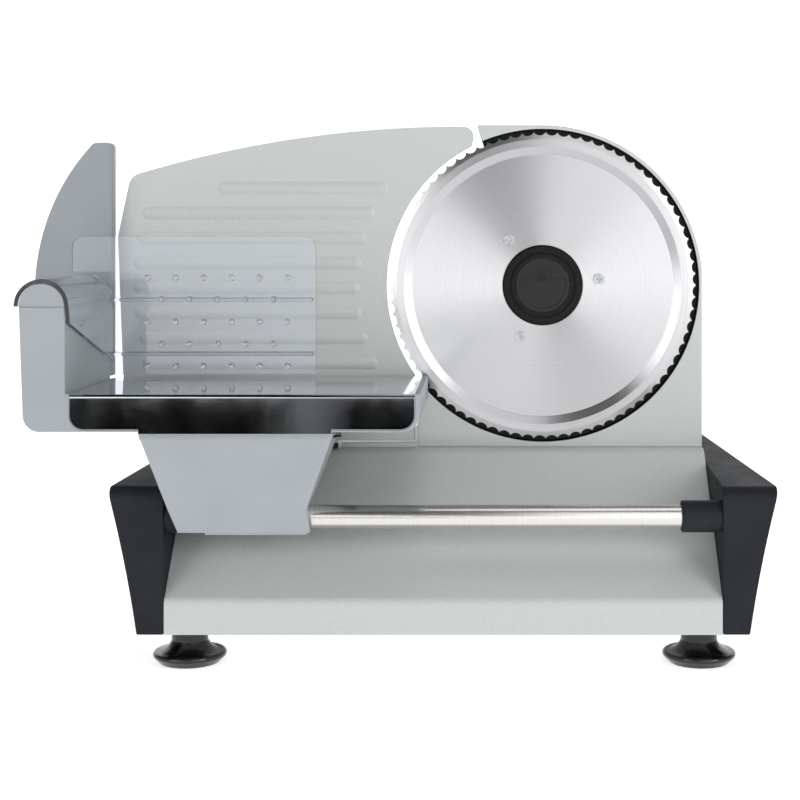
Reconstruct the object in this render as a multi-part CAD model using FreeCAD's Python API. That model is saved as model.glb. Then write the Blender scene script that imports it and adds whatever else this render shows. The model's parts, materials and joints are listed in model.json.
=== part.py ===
import FreeCAD, Part
import math
import os

# A deli meat slicer: a base with a guide rod, a carriage that slides across the blade, a clear
# food pusher, a plate that sets the slice thickness, and a geared, motor-driven round blade.
# Millimetres. While modelling, x = 0 is the middle of the base, y = 0 is the plane of the
# blade's edge with the operator at -y, and z = 0 is the worktop. build() then moves everything
# so that the origin is under the middle of the whole machine's box.

V = FreeCAD.Vector

# --- driving dimensions: base -------------------------------------------------------------
foot_height = 20.8
foot_neck_r = 10.4
foot_rim_r = 21.0
foot_sole_r = 17.0
foot_sole_width = 2.6
foot_side_inset = 10.5
foot_front_inset = 24.0
foot_rear_inset = 26.0
foot_screw_r = 2.4
foot_screw_head_r = 4.3
tray_half_width = 157.5
tray_sheet = 2.0
tray_front_y = -90.0
tray_rear_y = 120.0
tray_lip_z = 40.0
tray_bend_r = 4.0
shelf_z = 115.0
shelf_front_y = -9.0
bottom_plate_gap = 0.2
cap_gap = 0.2
cap_front_width = 32.0
cap_foot_width = 15.3
cap_rear_width = 7.0
cap_front_drop = 11.5
cap_shelf_step = 0.5
cap_wall = 3.0
cap_fold_r = 8.0
cap_screw_r = 1.5
grommet_r = 6.0
grommet_x = 95.0
grommet_z = 50.0

# --- guide rod and its bushings -----------------------------------------------------------
rod_r = 6.5
rod_y = -80.0
rod_drop = 29.0
rod_in_cap = 12.0
rod_bush_wall = 2.5
rod_bush_length = 22.7
running_gap = 0.05
clear_gap = 0.3

# --- carriage -----------------------------------------------------------------------------
carriage_stop_gap = 3.0
carriage_front_y = -118.0
carriage_rear_y = -3.0
carriage_lift = 23.5
wall_outer = 73.5
wall_lean = 2.1
wall_inner = 48.3
wall_height = 47.7
wall_corner_r = 9.0
wall_rear_y = -12.0
abs_wall = 2.5
rail_r = 12.4
rail_outer = 61.4
deck_reach = 145.6
deck_corner_r = 10.0
platform_outer = 46.0
platform_reach = 142.8
platform_lift = 44.0
platform_sheet_t = 1.0
platform_band_step = 1.2
platform_corner_r = 8.0
platform_tongue_outer = 8.5
platform_tongue_reach = 97.5
platform_tongue_drop = 1.3
platform_fold_r = 2.0
sleeve_stop_gap = 0.5
sleeve_length = 57.5
sleeve_bush_wall = 1.4
sleeve_wall = 1.1
sleeve_seat_gap = 0.03
sleeve_bush_length = 14.0
bracket_top_drop = 1.9
bracket_crease_rise = 6.6
bracket_bottom_drop = 7.7
bracket_wall = 2.5
shoe_inset = 42.5
shoe_stem_length = 35.0
shoe_length = 47.7
shoe_foot_t = 2.6
shoe_y = -8.2
shoe_t = 5.0
guard_rise = 96.0
guard_width = 49.5
guard_wall_gap = 1.0
guard_front_y = -10.3
guard_back_y = -1.6
guard_t = 2.2
guard_drop = 46.7

# --- pusher -------------------------------------------------------------------------------
pusher_travel = 100.0
pusher_t = 2.3
pusher_hook_r = 15.0
pusher_plate_back_y = -11.2
pusher_plate_reach = 77.5
pusher_floor_gap = 2.0
pusher_plate_height = 84.4
pusher_corner_r = 7.0
pusher_wing_outer = 71.5
pusher_wing_rise = 16.8
pusher_flange_drop = 8.7
pusher_web_gap = 10.0
pusher_rib_heights = (47.8, 14.8)
pusher_rib_depth = 7.0
spike_rows = ((61.0, 6, 0.0), (47.8, 5, 0.5), (34.0, 6, 0.0), (20.5, 5, 0.5), (7.0, 6, 0.0))
spike_outer = 25.5
spike_pitch = 17.1
spike_r = 2.2
spike_h = 3.0

# --- blade, hub and lock ------------------------------------------------------------------
blade_floor_gap = 5.0
blade_r = 95.0
blade_teeth = 81
blade_tooth_depth = 2.2
blade_bevel = 4.5
blade_rim_t = 1.5
blade_rim_width = 9.0
blade_dish = 2.2
blade_dish_run = 5.0
blade_hole_r = 25.0
blade_screw_circle_r = 35.1
blade_screw_angle = 6.6
blade_screw_r = 1.6
blade_screw_head_r = 3.4
hub_front_y = 0.7
hub_groove_r = 20.4
lock_r = 16.7
lock_front_y = 1.1
lock_back_y = 3.6
lock_edge_z = 4.5
lock_notch_r = 5.2
lock_stem_r = 6.5

# --- drive train --------------------------------------------------------------------------
pressure_angle = math.radians(25.0)
flank_slack = 0.12
blade_gear_teeth = 50
idler_pinion_teeth = 14
first_module = 1.5
idler_gear_teeth = 60
motor_pinion_teeth = 12
second_module = 1.0
motor_offset = (56.8, -56.6)
motor_inset = 41.7
motor_rise = 43.4
spindle_r = 5.0
idler_axle_r = 3.0
motor_shaft_r = 2.5
gear_flange_r = 41.0
gear_flange_y = (3.9, 8.4)
first_mesh_y = (9.6, 17.0)
second_mesh_y = (18.6, 25.6)
gear_plate_y = (29.0, 32.0)
motor_can_r = 29.0
motor_length = 52.0
motor_wall = 1.6
motor_bell_length = 9.0

# --- blade housing and rear cover ---------------------------------------------------------
pocket_gap = 1.8
pocket_depth = 7.0
housing_wall = 2.2
housing_front_t = 3.0
housing_depth = 20.0
housing_shoulder = 0.5
housing_left_drop = 3.7
housing_deflector = (-43.0, -30.0)
housing_neck_lean = math.radians(3.26)
housing_neck_depth = 3.4
housing_peak_lean = 4.2
cover_rear_y = 112.0
cover_rise = 53.0
cover_wall = 2.5
cover_corner_r = 14.0
cover_bevel = 5.0
switch_side = 45.5
switch_rise = 21.0
switch_half = (8.0, 11.0)
rocker_r = 8.3
rocker_half_width = 5.3
rocker_tilt = 9.0
rocker_pin_r = 1.2

# --- thickness plate and its cam ----------------------------------------------------------
plate_travel = 15.0
plate_front_y = 1.0
plate_t = 1.6
plate_rim_depth = 8.6
plate_blade_gap = 2.2
plate_neck_gap = 6.6
plate_lift = 27.0
plate_tongue_width = 51.5
plate_tongue_tuck = 17.7
plate_tongue_lift = 4.0
plate_outer = 46.5
plate_rib_pitch = 15.47
plate_rib_first_rise = 60.2
plate_rib_width = 8.0
plate_rib_height = 1.0
plate_rib_insets = (62.0, 15.0, 12.0, 10.0, 10.0, 10.0, 13.0, 15.0)
plate_rib_blade_gap = 15.8
cam_inset = 34.5
cam_lift = 45.0
cam_r = 14.0
cam_groove_r = 9.0
cam_turn = 300.0
cam_overrun = 22.0
follower_r = 2.8
follower_y = 40.5
sill_gap = 0.6
sill_t = 2.3
sill_height = 3.0
guide_pin_r = 4.0
guide_pin_x = 32.0
frame_front_y = (28.0, 34.0)
frame_back_y = (62.0, 68.0)
thickness_cover_rear_y = 98.0
knob_r = 24.0
knob_shaft_r = 4.0
knob_y = (100.0, 122.0)
knob_flutes = 12

# --- sizes worked out from the driving ones: base and carriage ----------------------------
left_x = -tray_half_width
foot_x = tray_half_width - foot_side_inset
cap_inner_x = tray_half_width + cap_gap
cap_rear_z = shelf_z - cap_shelf_step
cap_front_z = shelf_z - cap_front_drop
foot_front_y = tray_front_y + foot_front_inset
foot_rear_y = tray_rear_y - foot_rear_inset
rod_z = shelf_z - rod_drop
rod_bush_r = rod_r + rod_bush_wall
rod_bush_inner_x = cap_inner_x - rod_bush_length
carriage_skirt_z = shelf_z + carriage_lift
platform_z = shelf_z + platform_lift
platform_band_z = carriage_skirt_z + platform_band_step
platform_tongue_z = carriage_skirt_z - platform_tongue_drop
platform_left_x = left_x - platform_outer
platform_right_x = left_x + platform_reach
platform_tongue_left_x = left_x - platform_tongue_outer
platform_tongue_right_x = left_x + platform_tongue_reach
wall_left_x = left_x - wall_outer
wall_right_x = left_x - wall_inner
wall_top_z = platform_z + wall_height
rail_x = left_x - rail_outer
rail_z = wall_top_z + 0.3
deck_right_x = left_x + deck_reach
sleeve_bush_r = rod_r + sleeve_bush_wall
sleeve_half = sleeve_bush_r + sleeve_wall
sleeve_left_x = -rod_bush_inner_x + sleeve_stop_gap
sleeve_right_x = sleeve_left_x + sleeve_length
carriage_travel = rod_bush_inner_x - sleeve_right_x - carriage_stop_gap
bracket_top_z = carriage_skirt_z - bracket_top_drop
bracket_crease_z = rod_z + bracket_crease_rise
bracket_bottom_z = rod_z - bracket_bottom_drop
shoe_left_x = left_x + shoe_inset
shoe_stem_right_x = shoe_left_x + shoe_stem_length
shoe_right_x = shoe_left_x + shoe_length
guard_right_x = wall_right_x + guard_wall_gap
guard_left_x = guard_right_x - guard_width
guard_top_z = wall_top_z + guard_rise
guard_low_z = wall_top_z - guard_drop
pusher_plate_front_y = pusher_plate_back_y - pusher_t
pusher_plate_right_x = left_x + pusher_plate_reach
pusher_plate_low_z = platform_z + pusher_floor_gap
pusher_plate_top_z = pusher_plate_low_z + pusher_plate_height
pusher_wing_left_x = left_x - pusher_wing_outer
pusher_wing_z = wall_top_z + pusher_wing_rise
pusher_flange_z = wall_top_z - pusher_flange_drop
pusher_web_low_z = platform_z + pusher_web_gap
pusher_web_right = rail_x + pusher_hook_r + 0.7

# --- sizes worked out: blade, housing, drive and thickness plate --------------------------
pocket_r = blade_r + pocket_gap
housing_r = pocket_r + housing_wall
housing_right_x = tray_half_width
blade_x = housing_right_x - housing_r + housing_shoulder
blade_z = shelf_z + blade_r + blade_floor_gap
housing_top_z = blade_z + housing_r
plate_arc_r = blade_r + plate_blade_gap
plate_tongue_right_x = blade_x - plate_arc_r + plate_tongue_tuck
plate_tongue_left_x = plate_tongue_right_x - plate_tongue_width
plate_tongue_z = shelf_z + plate_tongue_lift
plate_bottom_z = shelf_z + plate_lift
plate_left_x = left_x - plate_outer
housing_left_x = plate_tongue_right_x + plate_blade_gap
housing_left_fall = math.sqrt(pocket_r ** 2 - (blade_x - housing_left_x) ** 2)
housing_left_top_z = blade_z - housing_left_fall - housing_left_drop
cover_top_z = blade_z + cover_rise
switch_x = housing_right_x - switch_side
switch_z = blade_z + switch_rise
idler_reach = first_module * (blade_gear_teeth + idler_pinion_teeth) / 2
motor_reach = second_module * (idler_gear_teeth + motor_pinion_teeth) / 2
motor_x = min(blade_x + motor_offset[0], housing_right_x - motor_inset)
motor_z = max(blade_z + motor_offset[1], shelf_z + motor_rise)
motor_span = math.hypot(motor_x - blade_x, motor_z - blade_z)
idler_bend = (idler_reach ** 2 + motor_span ** 2 - motor_reach ** 2) / (2 * idler_reach * motor_span)
idler_direction = math.atan2(motor_z - blade_z, motor_x - blade_x) + math.acos(idler_bend)
idler_x = blade_x + idler_reach * math.cos(idler_direction)
idler_z = blade_z + idler_reach * math.sin(idler_direction)
motor_direction = math.atan2(motor_z - idler_z, motor_x - idler_x)
cam_x = left_x + cam_inset
cam_z = shelf_z + cam_lift
cam_lead = plate_travel * 360.0 / cam_turn
feet = {
    "front_left": (-foot_x, foot_front_y),
    "front_right": (foot_x, foot_front_y),
    "rear_left": (-foot_x, foot_rear_y),
    "rear_right": (foot_x, foot_rear_y),
}
cap_screw_spots = ((-66.0, 45.0), (20.0, shelf_z - 20.0), (20.0, 40.0))
post_spots = (
    (blade_x - 32.0, cover_top_z - 9.0),
    (housing_right_x - 25.5, cover_top_z - 13.0),
    (housing_right_x - 13.5, shelf_z + 13.0),
    (blade_x - 32.0, shelf_z + 13.0),
)


# --- small helpers ------------------------------------------------------------------------
def box(x0, x1, y0, y1, z0, z1):
    return Part.makeBox(x1 - x0, y1 - y0, z1 - z0, V(x0, y0, z0))


def rod_along_x(r, x0, x1, y, z):
    return Part.makeCylinder(r, x1 - x0, V(x0, y, z), V(1, 0, 0))


def rod_along_y(r, y0, y1, x, z):
    return Part.makeCylinder(r, y1 - y0, V(x, y0, z), V(0, 1, 0))


def rod_along_z(r, z0, z1, x, y):
    return Part.makeCylinder(r, z1 - z0, V(x, y, z0), V(0, 0, 1))


def outline(point, start, steps):
    """A face bounded by lines (a step is one point) and arcs (a step is a via and an end)."""
    edges = []
    here = start
    for step in steps:
        if isinstance(step[0], tuple):
            via, end = step
            edges.append(Part.Arc(point(*here), point(*via), point(*end)).toShape())
        else:
            end = step
            edges.append(Part.LineSegment(point(*here), point(*end)).toShape())
        here = end
    if (point(*here) - point(*start)).Length > 1e-6:
        edges.append(Part.LineSegment(point(*here), point(*start)).toShape())
    return Part.Face(Part.Wire(edges))


def front_face(start, steps):
    return outline(lambda x, z: V(x, 0, z), start, steps)


def thicken_y(face, y0, y1):
    moved = face.copy()
    moved.translate(V(0, y0, 0))
    return moved.extrude(V(0, y1 - y0, 0))


def slab_y(start, steps, y0, y1):
    return thicken_y(front_face(start, steps), y0, y1)


def slab_x(start, steps, x0, x1):
    face = outline(lambda y, z: V(x0, y, z), start, steps)
    return face.extrude(V(x1 - x0, 0, 0))


def slab_z(start, steps, z0, z1):
    face = outline(lambda x, y: V(x, y, z0), start, steps)
    return face.extrude(V(0, 0, z1 - z0))


def slid(face, y):
    moved = face.OuterWire.copy()
    moved.translate(V(0, y, 0))
    return moved


def inset(face, distance):
    """The same outline moved inwards on every side."""
    ring = face.OuterWire
    for sign in (-1, 1):
        moved = Part.Face(ring.makeOffset2D(sign * distance))
        if moved.Area < face.Area:
            return moved
    return face


def join(shapes):
    return shapes[0].fuse(shapes[1:]).removeSplitter()


def turn(start, steps, x, y):
    """A solid of revolution about the vertical line through x, y, from an r-z profile."""
    face = outline(lambda r, z: V(x + r, y, z), start, steps)
    return face.revolve(V(x, y, 0), V(0, 0, 1), 360)


def turn_y(start, steps, x, z):
    """A solid of revolution about the line through x, z along y, from an r-y profile."""
    face = outline(lambda r, y: V(x + r, y, z), start, steps)
    return face.revolve(V(x, 0, z), V(0, 1, 0), 360)


def on_circle(x, z, r, angle):
    return (x + r * math.cos(angle), z + r * math.sin(angle))


def cut_slot_z(x0, x1, y0, y1, z0, z1):
    """A prism with round ends that runs along x, for vents and grip marks."""
    r = (y1 - y0) / 2
    mid = (y0 + y1) / 2
    start = (x0 + r, y0)
    steps = [(x1 - r, y0), ((x1, mid), (x1 - r, y1)), (x0 + r, y1), ((x0, mid), (x0 + r, y0))]
    return slab_z(start, steps, z0, z1)


def slot_y(x0, x1, z0, z1, y0, y1):
    """The same prism standing in a wall that faces y."""
    r = (z1 - z0) / 2
    mid = (z0 + z1) / 2
    start = (x0 + r, z0)
    steps = [(x1 - r, z0), ((x1, mid), (x1 - r, z1)), (x0 + r, z1), ((x0, mid), (x0 + r, z0))]
    return slab_y(start, steps, y0, y1)


def pan_screw_y(x, z, head_y, tip_y, shank_r, head_r, head_t, lobe):
    """A cross-head screw along y with its head at head_y and its point towards tip_y."""
    way = 1 if tip_y > head_y else -1
    under = head_y + way * head_t
    low, high = sorted((head_y, under))
    head = rod_along_y(head_r, low, high, x, z)
    low, high = sorted((under, tip_y))
    shank = rod_along_y(shank_r, low, high, x, z)
    low, high = sorted((head_y, head_y + way * head_t * 0.55))
    cross = box(x - lobe, x + lobe, low, high, z - lobe / 4, z + lobe / 4)
    cross = cross.fuse(box(x - lobe / 4, x + lobe / 4, low, high, z - lobe, z + lobe))
    return head.fuse(shank).cut(cross)


def gear(teeth, module, phase, y0, y1, x, z):
    """An involute spur gear on the line x, z along y, with a tooth centred on phase."""
    pitch_r = module * teeth / 2
    base_r = pitch_r * math.cos(pressure_angle)
    tip_r = pitch_r + 0.9 * module
    root_r = pitch_r - 1.25 * module
    start_r = max(base_r, root_r)
    involute = math.tan(pressure_angle) - pressure_angle
    half_pitch = math.pi / (2 * teeth) - flank_slack / pitch_r

    def half_angle(r):
        local = math.acos(min(1.0, base_r / r))
        return half_pitch + involute - (math.tan(local) - local)

    def at(r, angle):
        px, pz = on_circle(x, z, r, angle)
        return V(px, y0, pz)

    radii = [start_r + (tip_r - start_r) * step / 4 for step in range(5)]
    edges = []
    for tooth in range(teeth):
        mid = phase + 2 * math.pi * tooth / teeth
        after = mid + 2 * math.pi / teeth
        rise = [at(r, mid - half_angle(r)) for r in radii]
        fall = [at(r, mid + half_angle(r)) for r in reversed(radii)]
        root_in = at(root_r, mid - half_angle(start_r))
        root_out = at(root_r, mid + half_angle(start_r))
        root_next = at(root_r, after - half_angle(start_r))
        for flank in (rise, fall):
            curve = Part.BSplineCurve()
            curve.interpolate(flank)
            edges.append(curve.toShape())
        edges.insert(-1, Part.Arc(rise[-1], at(tip_r, mid), fall[0]).toShape())
        if start_r > root_r + 1e-6:
            edges.insert(-3, Part.LineSegment(root_in, rise[0]).toShape())
            edges.append(Part.LineSegment(fall[-1], root_out).toShape())
        edges.append(Part.Arc(root_out, at(root_r, (mid + after) / 2), root_next).toShape())
    face = Part.Face(Part.Wire(Part.__sortEdges__(edges)))
    return face.extrude(V(0, y1 - y0, 0))


def middle_of_box(shapes):
    """The point on the worktop under the middle of the box round all the shapes."""
    boxes = [shape.optimalBoundingBox(False) for shape in shapes]
    mid_x = (min(b.XMin for b in boxes) + max(b.XMax for b in boxes)) / 2
    mid_y = (min(b.YMin for b in boxes) + max(b.YMax for b in boxes)) / 2
    return V(mid_x, mid_y, 0)


def write(name, shape, origin):
    """Checks that the piece is sound, moves it to the row's origin and writes its file."""
    if not shape.isValid() or not shape.Solids:
        raise ValueError(name + " is not a sound solid")
    moved = shape.copy()
    moved.translate(origin * -1)
    moved.exportStep("parts/" + name + ".step")
    print(name, len(moved.Solids), round(moved.Volume))


# --- base ---------------------------------------------------------------------------------
def suction_foot(x, y):
    bore_r = foot_screw_r + 0.1
    steps = [
        (foot_neck_r, foot_height),
        (foot_neck_r, 0.62 * foot_height),
        ((foot_neck_r + 2.6, 0.44 * foot_height), (foot_rim_r - 1.4, 0.32 * foot_height)),
        ((foot_rim_r, 0.24 * foot_height), (foot_rim_r - 0.9, 0.15 * foot_height)),
        (foot_sole_r, 0.0),
        (foot_sole_r - foot_sole_width, 0.0),
        ((foot_sole_r * 0.5, 0.15 * foot_height), (bore_r, 0.19 * foot_height)),
    ]
    return turn((bore_r, foot_height), steps, x, y)


def foot_screw(x, y):
    plate_top = foot_height + tray_sheet
    head = rod_along_z(foot_screw_head_r, plate_top, plate_top + 3.2, x, y)
    shank = rod_along_z(foot_screw_r, 0.48 * foot_height, plate_top, x, y)
    return head.fuse(shank)


def tray_profile():
    run = math.hypot(shelf_front_y - tray_front_y, shelf_z - tray_lip_z)
    rise_y = (shelf_front_y - tray_front_y) / run
    rise_z = (shelf_z - tray_lip_z) / run
    b = tray_bend_r
    start = (tray_front_y, foot_height)
    lip_low = (tray_front_y, tray_lip_z - b)
    lip_high = (tray_front_y + b * rise_y, tray_lip_z + b * rise_z)
    lip_mid = (tray_front_y + 0.13 * b, tray_lip_z - 0.02 * b)
    shelf_low = (shelf_front_y - b * rise_y, shelf_z - b * rise_z)
    shelf_mid = (shelf_front_y + 0.02 * b, shelf_z - 0.2 * b)
    shelf_in = (shelf_front_y + b, shelf_z)
    rear_turn = (tray_rear_y - 0.3 * b, shelf_z - 0.3 * b)
    steps = [
        lip_low,
        (lip_mid, lip_high),
        shelf_low,
        (shelf_mid, shelf_in),
        (tray_rear_y - b, shelf_z),
        (rear_turn, (tray_rear_y, shelf_z - b)),
        (tray_rear_y, foot_height),
    ]
    return start, steps


def base_tray():
    start, steps = tray_profile()
    outer_face = outline(lambda y, z: V(-tray_half_width, y, z), start, steps)
    inner_face = inset(outer_face, tray_sheet)
    inner_face.translate(V(tray_sheet, 0, 0))
    tray = outer_face.extrude(V(2 * tray_half_width, 0, 0))
    inside = inner_face.extrude(V(2 * (tray_half_width - tray_sheet), 0, 0))
    inner_x = tray_half_width - tray_sheet
    mouth = box(-inner_x, inner_x, tray_front_y + tray_sheet, tray_rear_y - tray_sheet,
                foot_height - 1, foot_height + tray_sheet + 0.5)
    holes = [inside, mouth]
    for y, z in cap_screw_spots:
        holes.append(rod_along_x(cap_screw_r + 0.1, -cap_inner_x, cap_inner_x, y, z))
    for x, y in shelf_screw_spots():
        holes.append(rod_along_z(1.8, shelf_z - 5, shelf_z + 1, x, y))
    holes.append(rod_along_y(grommet_r, tray_rear_y - 5, tray_rear_y + 1, grommet_x, grommet_z))
    return tray.cut(holes)


def shelf_screw_spots():
    """Where screws come up through the shelf into the housing, the cover and the frame."""
    housing_y = housing_depth / 2
    cover_y = cover_rear_y - 8.0
    return (
        (housing_left_x + 12.0, housing_y),
        (housing_right_x - 12.0, housing_y),
        (housing_left_x + 12.0, cover_y),
        (housing_right_x - 12.0, cover_y),
        (cam_x - 26.0, (frame_front_y[1] + frame_back_y[0]) / 2),
        (cam_x + 26.0, (frame_front_y[1] + frame_back_y[0]) / 2),
    )


def shelf_screws():
    under = shelf_z - tray_sheet
    screws = []
    for x, y in shelf_screw_spots():
        head = rod_along_z(3.2, under - 2.2, under, x, y)
        screws.append(head.fuse(rod_along_z(1.7, under, shelf_z + 3.6, x, y)))
    return Part.makeCompound(screws)


def bottom_plate():
    inner_x = tray_half_width - tray_sheet - bottom_plate_gap
    low_y = tray_front_y + tray_sheet + bottom_plate_gap
    high_y = tray_rear_y - tray_sheet - bottom_plate_gap
    plate = box(-inner_x, inner_x, low_y, high_y, foot_height, foot_height + tray_sheet)
    holes = [rod_along_z(foot_screw_r + 0.1, 0, 2 * foot_height, x, y) for x, y in feet.values()]
    for row in range(5):
        y = (low_y + high_y) / 2 - 24 + 12 * row
        holes.append(cut_slot_z(grommet_x - 22, grommet_x + 22, y, y + 3, 0, 2 * foot_height))
    return plate.cut(holes)


def cap_section(y, foot_w, top_w, top_z, wall):
    inner = cap_inner_x + wall
    foot_out = cap_inner_x + foot_w - wall
    top_out = cap_inner_x + top_w - wall
    low = foot_height - (1.0 if wall else 0.0)
    high = top_z - wall
    waist = ((foot_out + top_out) / 2 - 1.2 * (top_w / cap_front_width), (low + high) / 2)
    steps = [(foot_out, low), (waist, (top_out, high)), (inner, high)]
    return outline(lambda x, z: V(x, y, z), (inner, low), steps).OuterWire


def right_end_cap():
    """Shell open below, wide in front and narrow behind, with a rounded fold over the front."""
    front = cap_section(tray_front_y, cap_foot_width, cap_front_width, cap_front_z, 0.0)
    rear_foot = cap_rear_width * 0.6
    rear = cap_section(tray_rear_y, rear_foot, cap_rear_width, cap_rear_z, 0.0)
    cap = Part.makeLoft([front, rear], True, True)
    folds = [e for e in cap.Edges
             if all(abs(v.Point.y - tray_front_y) < 0.01 for v in e.Vertexes)
             and all(abs(v.Point.z - cap_front_z) < 0.01 for v in e.Vertexes)]
    cap = cap.makeFillet(cap_fold_r, folds)
    share = 0.7
    back_y = tray_front_y + share * (tray_rear_y - tray_front_y)
    back_w = cap_front_width + share * (cap_rear_width - cap_front_width)
    back_foot = cap_foot_width + share * (rear_foot - cap_foot_width)
    back_z = cap_front_z + share * (cap_rear_z - cap_front_z)
    hollow_front = cap_section(tray_front_y + cap_wall, cap_foot_width, cap_front_width,
                               cap_front_z - 4.0, cap_wall)
    hollow_back = cap_section(back_y, back_foot, back_w, back_z, cap_wall)
    shell = cap.cut(Part.makeLoft([hollow_front, hollow_back], True, True))
    bosses = [rod_along_x(rod_r + 3.5, cap_inner_x + 0.5, cap_inner_x + rod_in_cap + 2,
                          rod_y, rod_z)]
    bores = [rod_along_x(rod_r + running_gap, cap_inner_x - 1, cap_inner_x + rod_in_cap + 0.3,
                         rod_y, rod_z)]
    for y, z in cap_screw_spots:
        bosses.append(rod_along_x(4.2, cap_inner_x + 0.5, cap_inner_x + 9.0, y, z).common(cap))
        bores.append(rod_along_x(cap_screw_r + 0.05, cap_inner_x - 1, cap_inner_x + 8.5, y, z))
    return join([shell] + bosses).cut(bores)


def mirrored(shape):
    return shape.mirror(V(0, 0, 0), V(1, 0, 0))


def cap_screws():
    wall_x = tray_half_width - tray_sheet
    screws = []
    for y, z in cap_screw_spots:
        head = rod_along_x(3.0, wall_x - 2.0, wall_x, y, z)
        screw = head.fuse(rod_along_x(cap_screw_r, wall_x, cap_inner_x + 8.0, y, z))
        screws.append(screw)
        screws.append(mirrored(screw))
    return Part.makeCompound(screws)


def guide_rod():
    reach = cap_inner_x + rod_in_cap
    return rod_along_x(rod_r, -reach, reach, rod_y, rod_z)


def right_rod_bushing():
    sleeve = rod_along_x(rod_bush_r, rod_bush_inner_x, cap_inner_x, rod_y, rod_z)
    bore = rod_along_x(rod_r + 0.02, rod_bush_inner_x - 1, cap_inner_x + 1, rod_y, rod_z)
    rim = [e for e in sleeve.Edges if abs(e.CenterOfMass.x - rod_bush_inner_x) < 0.01]
    return sleeve.makeChamfer(0.8, rim).cut(bore)


def cord_grommet():
    inside_y = tray_rear_y - tray_sheet
    steps = [
        (grommet_r + 3.0, inside_y - 1.6),
        (grommet_r + 3.0, inside_y),
        (grommet_r - 0.05, inside_y),
        (grommet_r - 0.05, tray_rear_y),
        (grommet_r + 3.0, tray_rear_y),
        (grommet_r + 2.0, tray_rear_y + 2.4),
        (grommet_r - 2.2, tray_rear_y + 2.4),
        (grommet_r - 2.2, inside_y - 1.6),
    ]
    return turn_y((grommet_r - 2.2, inside_y - 1.6), steps, grommet_x, grommet_z)


# --- blade housing and rear cover ---------------------------------------------------------
def housing_neck():
    """Where the housing's leaning left edge meets the circle just inside the blade's pocket."""
    side, down = housing_deflector
    lean_x, lean_z = math.sin(housing_neck_lean), math.cos(housing_neck_lean)
    along = side * lean_x + down * lean_z
    neck_r = pocket_r - housing_neck_depth
    run = math.sqrt(along ** 2 - side ** 2 - down ** 2 + neck_r ** 2) - along
    return (blade_x + side + run * lean_x, blade_z + down + run * lean_z)


def housing_face():
    side = housing_right_x - blade_x
    shoulder_z = blade_z + math.sqrt(housing_r ** 2 - side ** 2)
    mid = (math.pi / 2 + math.asin((shoulder_z - blade_z) / housing_r)) / 2
    neck_x, neck_z = housing_neck()
    steps = [
        (blade_x, housing_top_z),
        (on_circle(blade_x, blade_z, housing_r, mid), (housing_right_x, shoulder_z)),
        (housing_right_x, shelf_z),
        (housing_left_x, shelf_z),
        (housing_left_x, housing_left_top_z),
        (blade_x + housing_deflector[0], blade_z + housing_deflector[1]),
        (neck_x, neck_z),
    ]
    return front_face((neck_x - housing_peak_lean, housing_top_z), steps)


def blade_housing():
    """Open-backed casting with a round pocket for the blade and posts for the gear plate."""
    face = housing_face()
    outer = thicken_y(face, 0, housing_depth)
    hollow = thicken_y(inset(face, housing_wall), housing_front_t, housing_depth + 1)
    floor_y = pocket_depth + 2.0
    pan = rod_along_y(pocket_r + housing_wall, 0, floor_y, blade_x, blade_z).common(outer)
    body = outer.cut(hollow).fuse(pan)
    posts = [rod_along_y(4.2, housing_front_t - 1, gear_plate_y[0], x, z) for x, z in post_spots]
    for x, y in shelf_screw_spots()[:2]:
        posts.append(rod_along_z(4.5, shelf_z, shelf_z + 9, x, y))
    body = body.fuse(posts)
    gear_hole = rod_along_y(gear_flange_r + 2, 0, floor_y + 1, blade_x, blade_z)
    cuts = [rod_along_y(pocket_r, -1, pocket_depth, blade_x, blade_z), gear_hole]
    for x, z in post_spots:
        cuts.append(rod_along_y(1.55, gear_plate_y[0] - 9, gear_plate_y[0] + 1, x, z))
    for x, y in shelf_screw_spots()[:2]:
        cuts.append(rod_along_z(1.75, shelf_z - 1, shelf_z + 4, x, y))
    return body.cut(cuts)


def cover_face(shrink):
    """The rear cover's outline: it follows the housing's low part and stays inside its arc."""
    r = cover_corner_r - shrink
    k = r * (1 - math.sqrt(0.5))
    left = housing_left_x + 0.4 + shrink
    neck = blade_x + housing_deflector[0] + 1.6 + shrink
    right = housing_right_x - 0.4 - shrink
    top = cover_top_z - shrink
    lean = shrink * 0.41
    round_r = 34.0 - shrink
    round_k = round_r * (1 - math.sqrt(0.5))
    steps = [
        (left, housing_left_top_z - lean),
        (neck, blade_z + housing_deflector[1] - lean),
        (neck, top - r),
        ((neck + k, top - k), (neck + r, top)),
        (right - round_r, top),
        ((right - round_k, top - round_k), (right, top - round_r)),
        (right, shelf_z),
    ]
    return front_face((left, shelf_z), steps)


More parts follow.
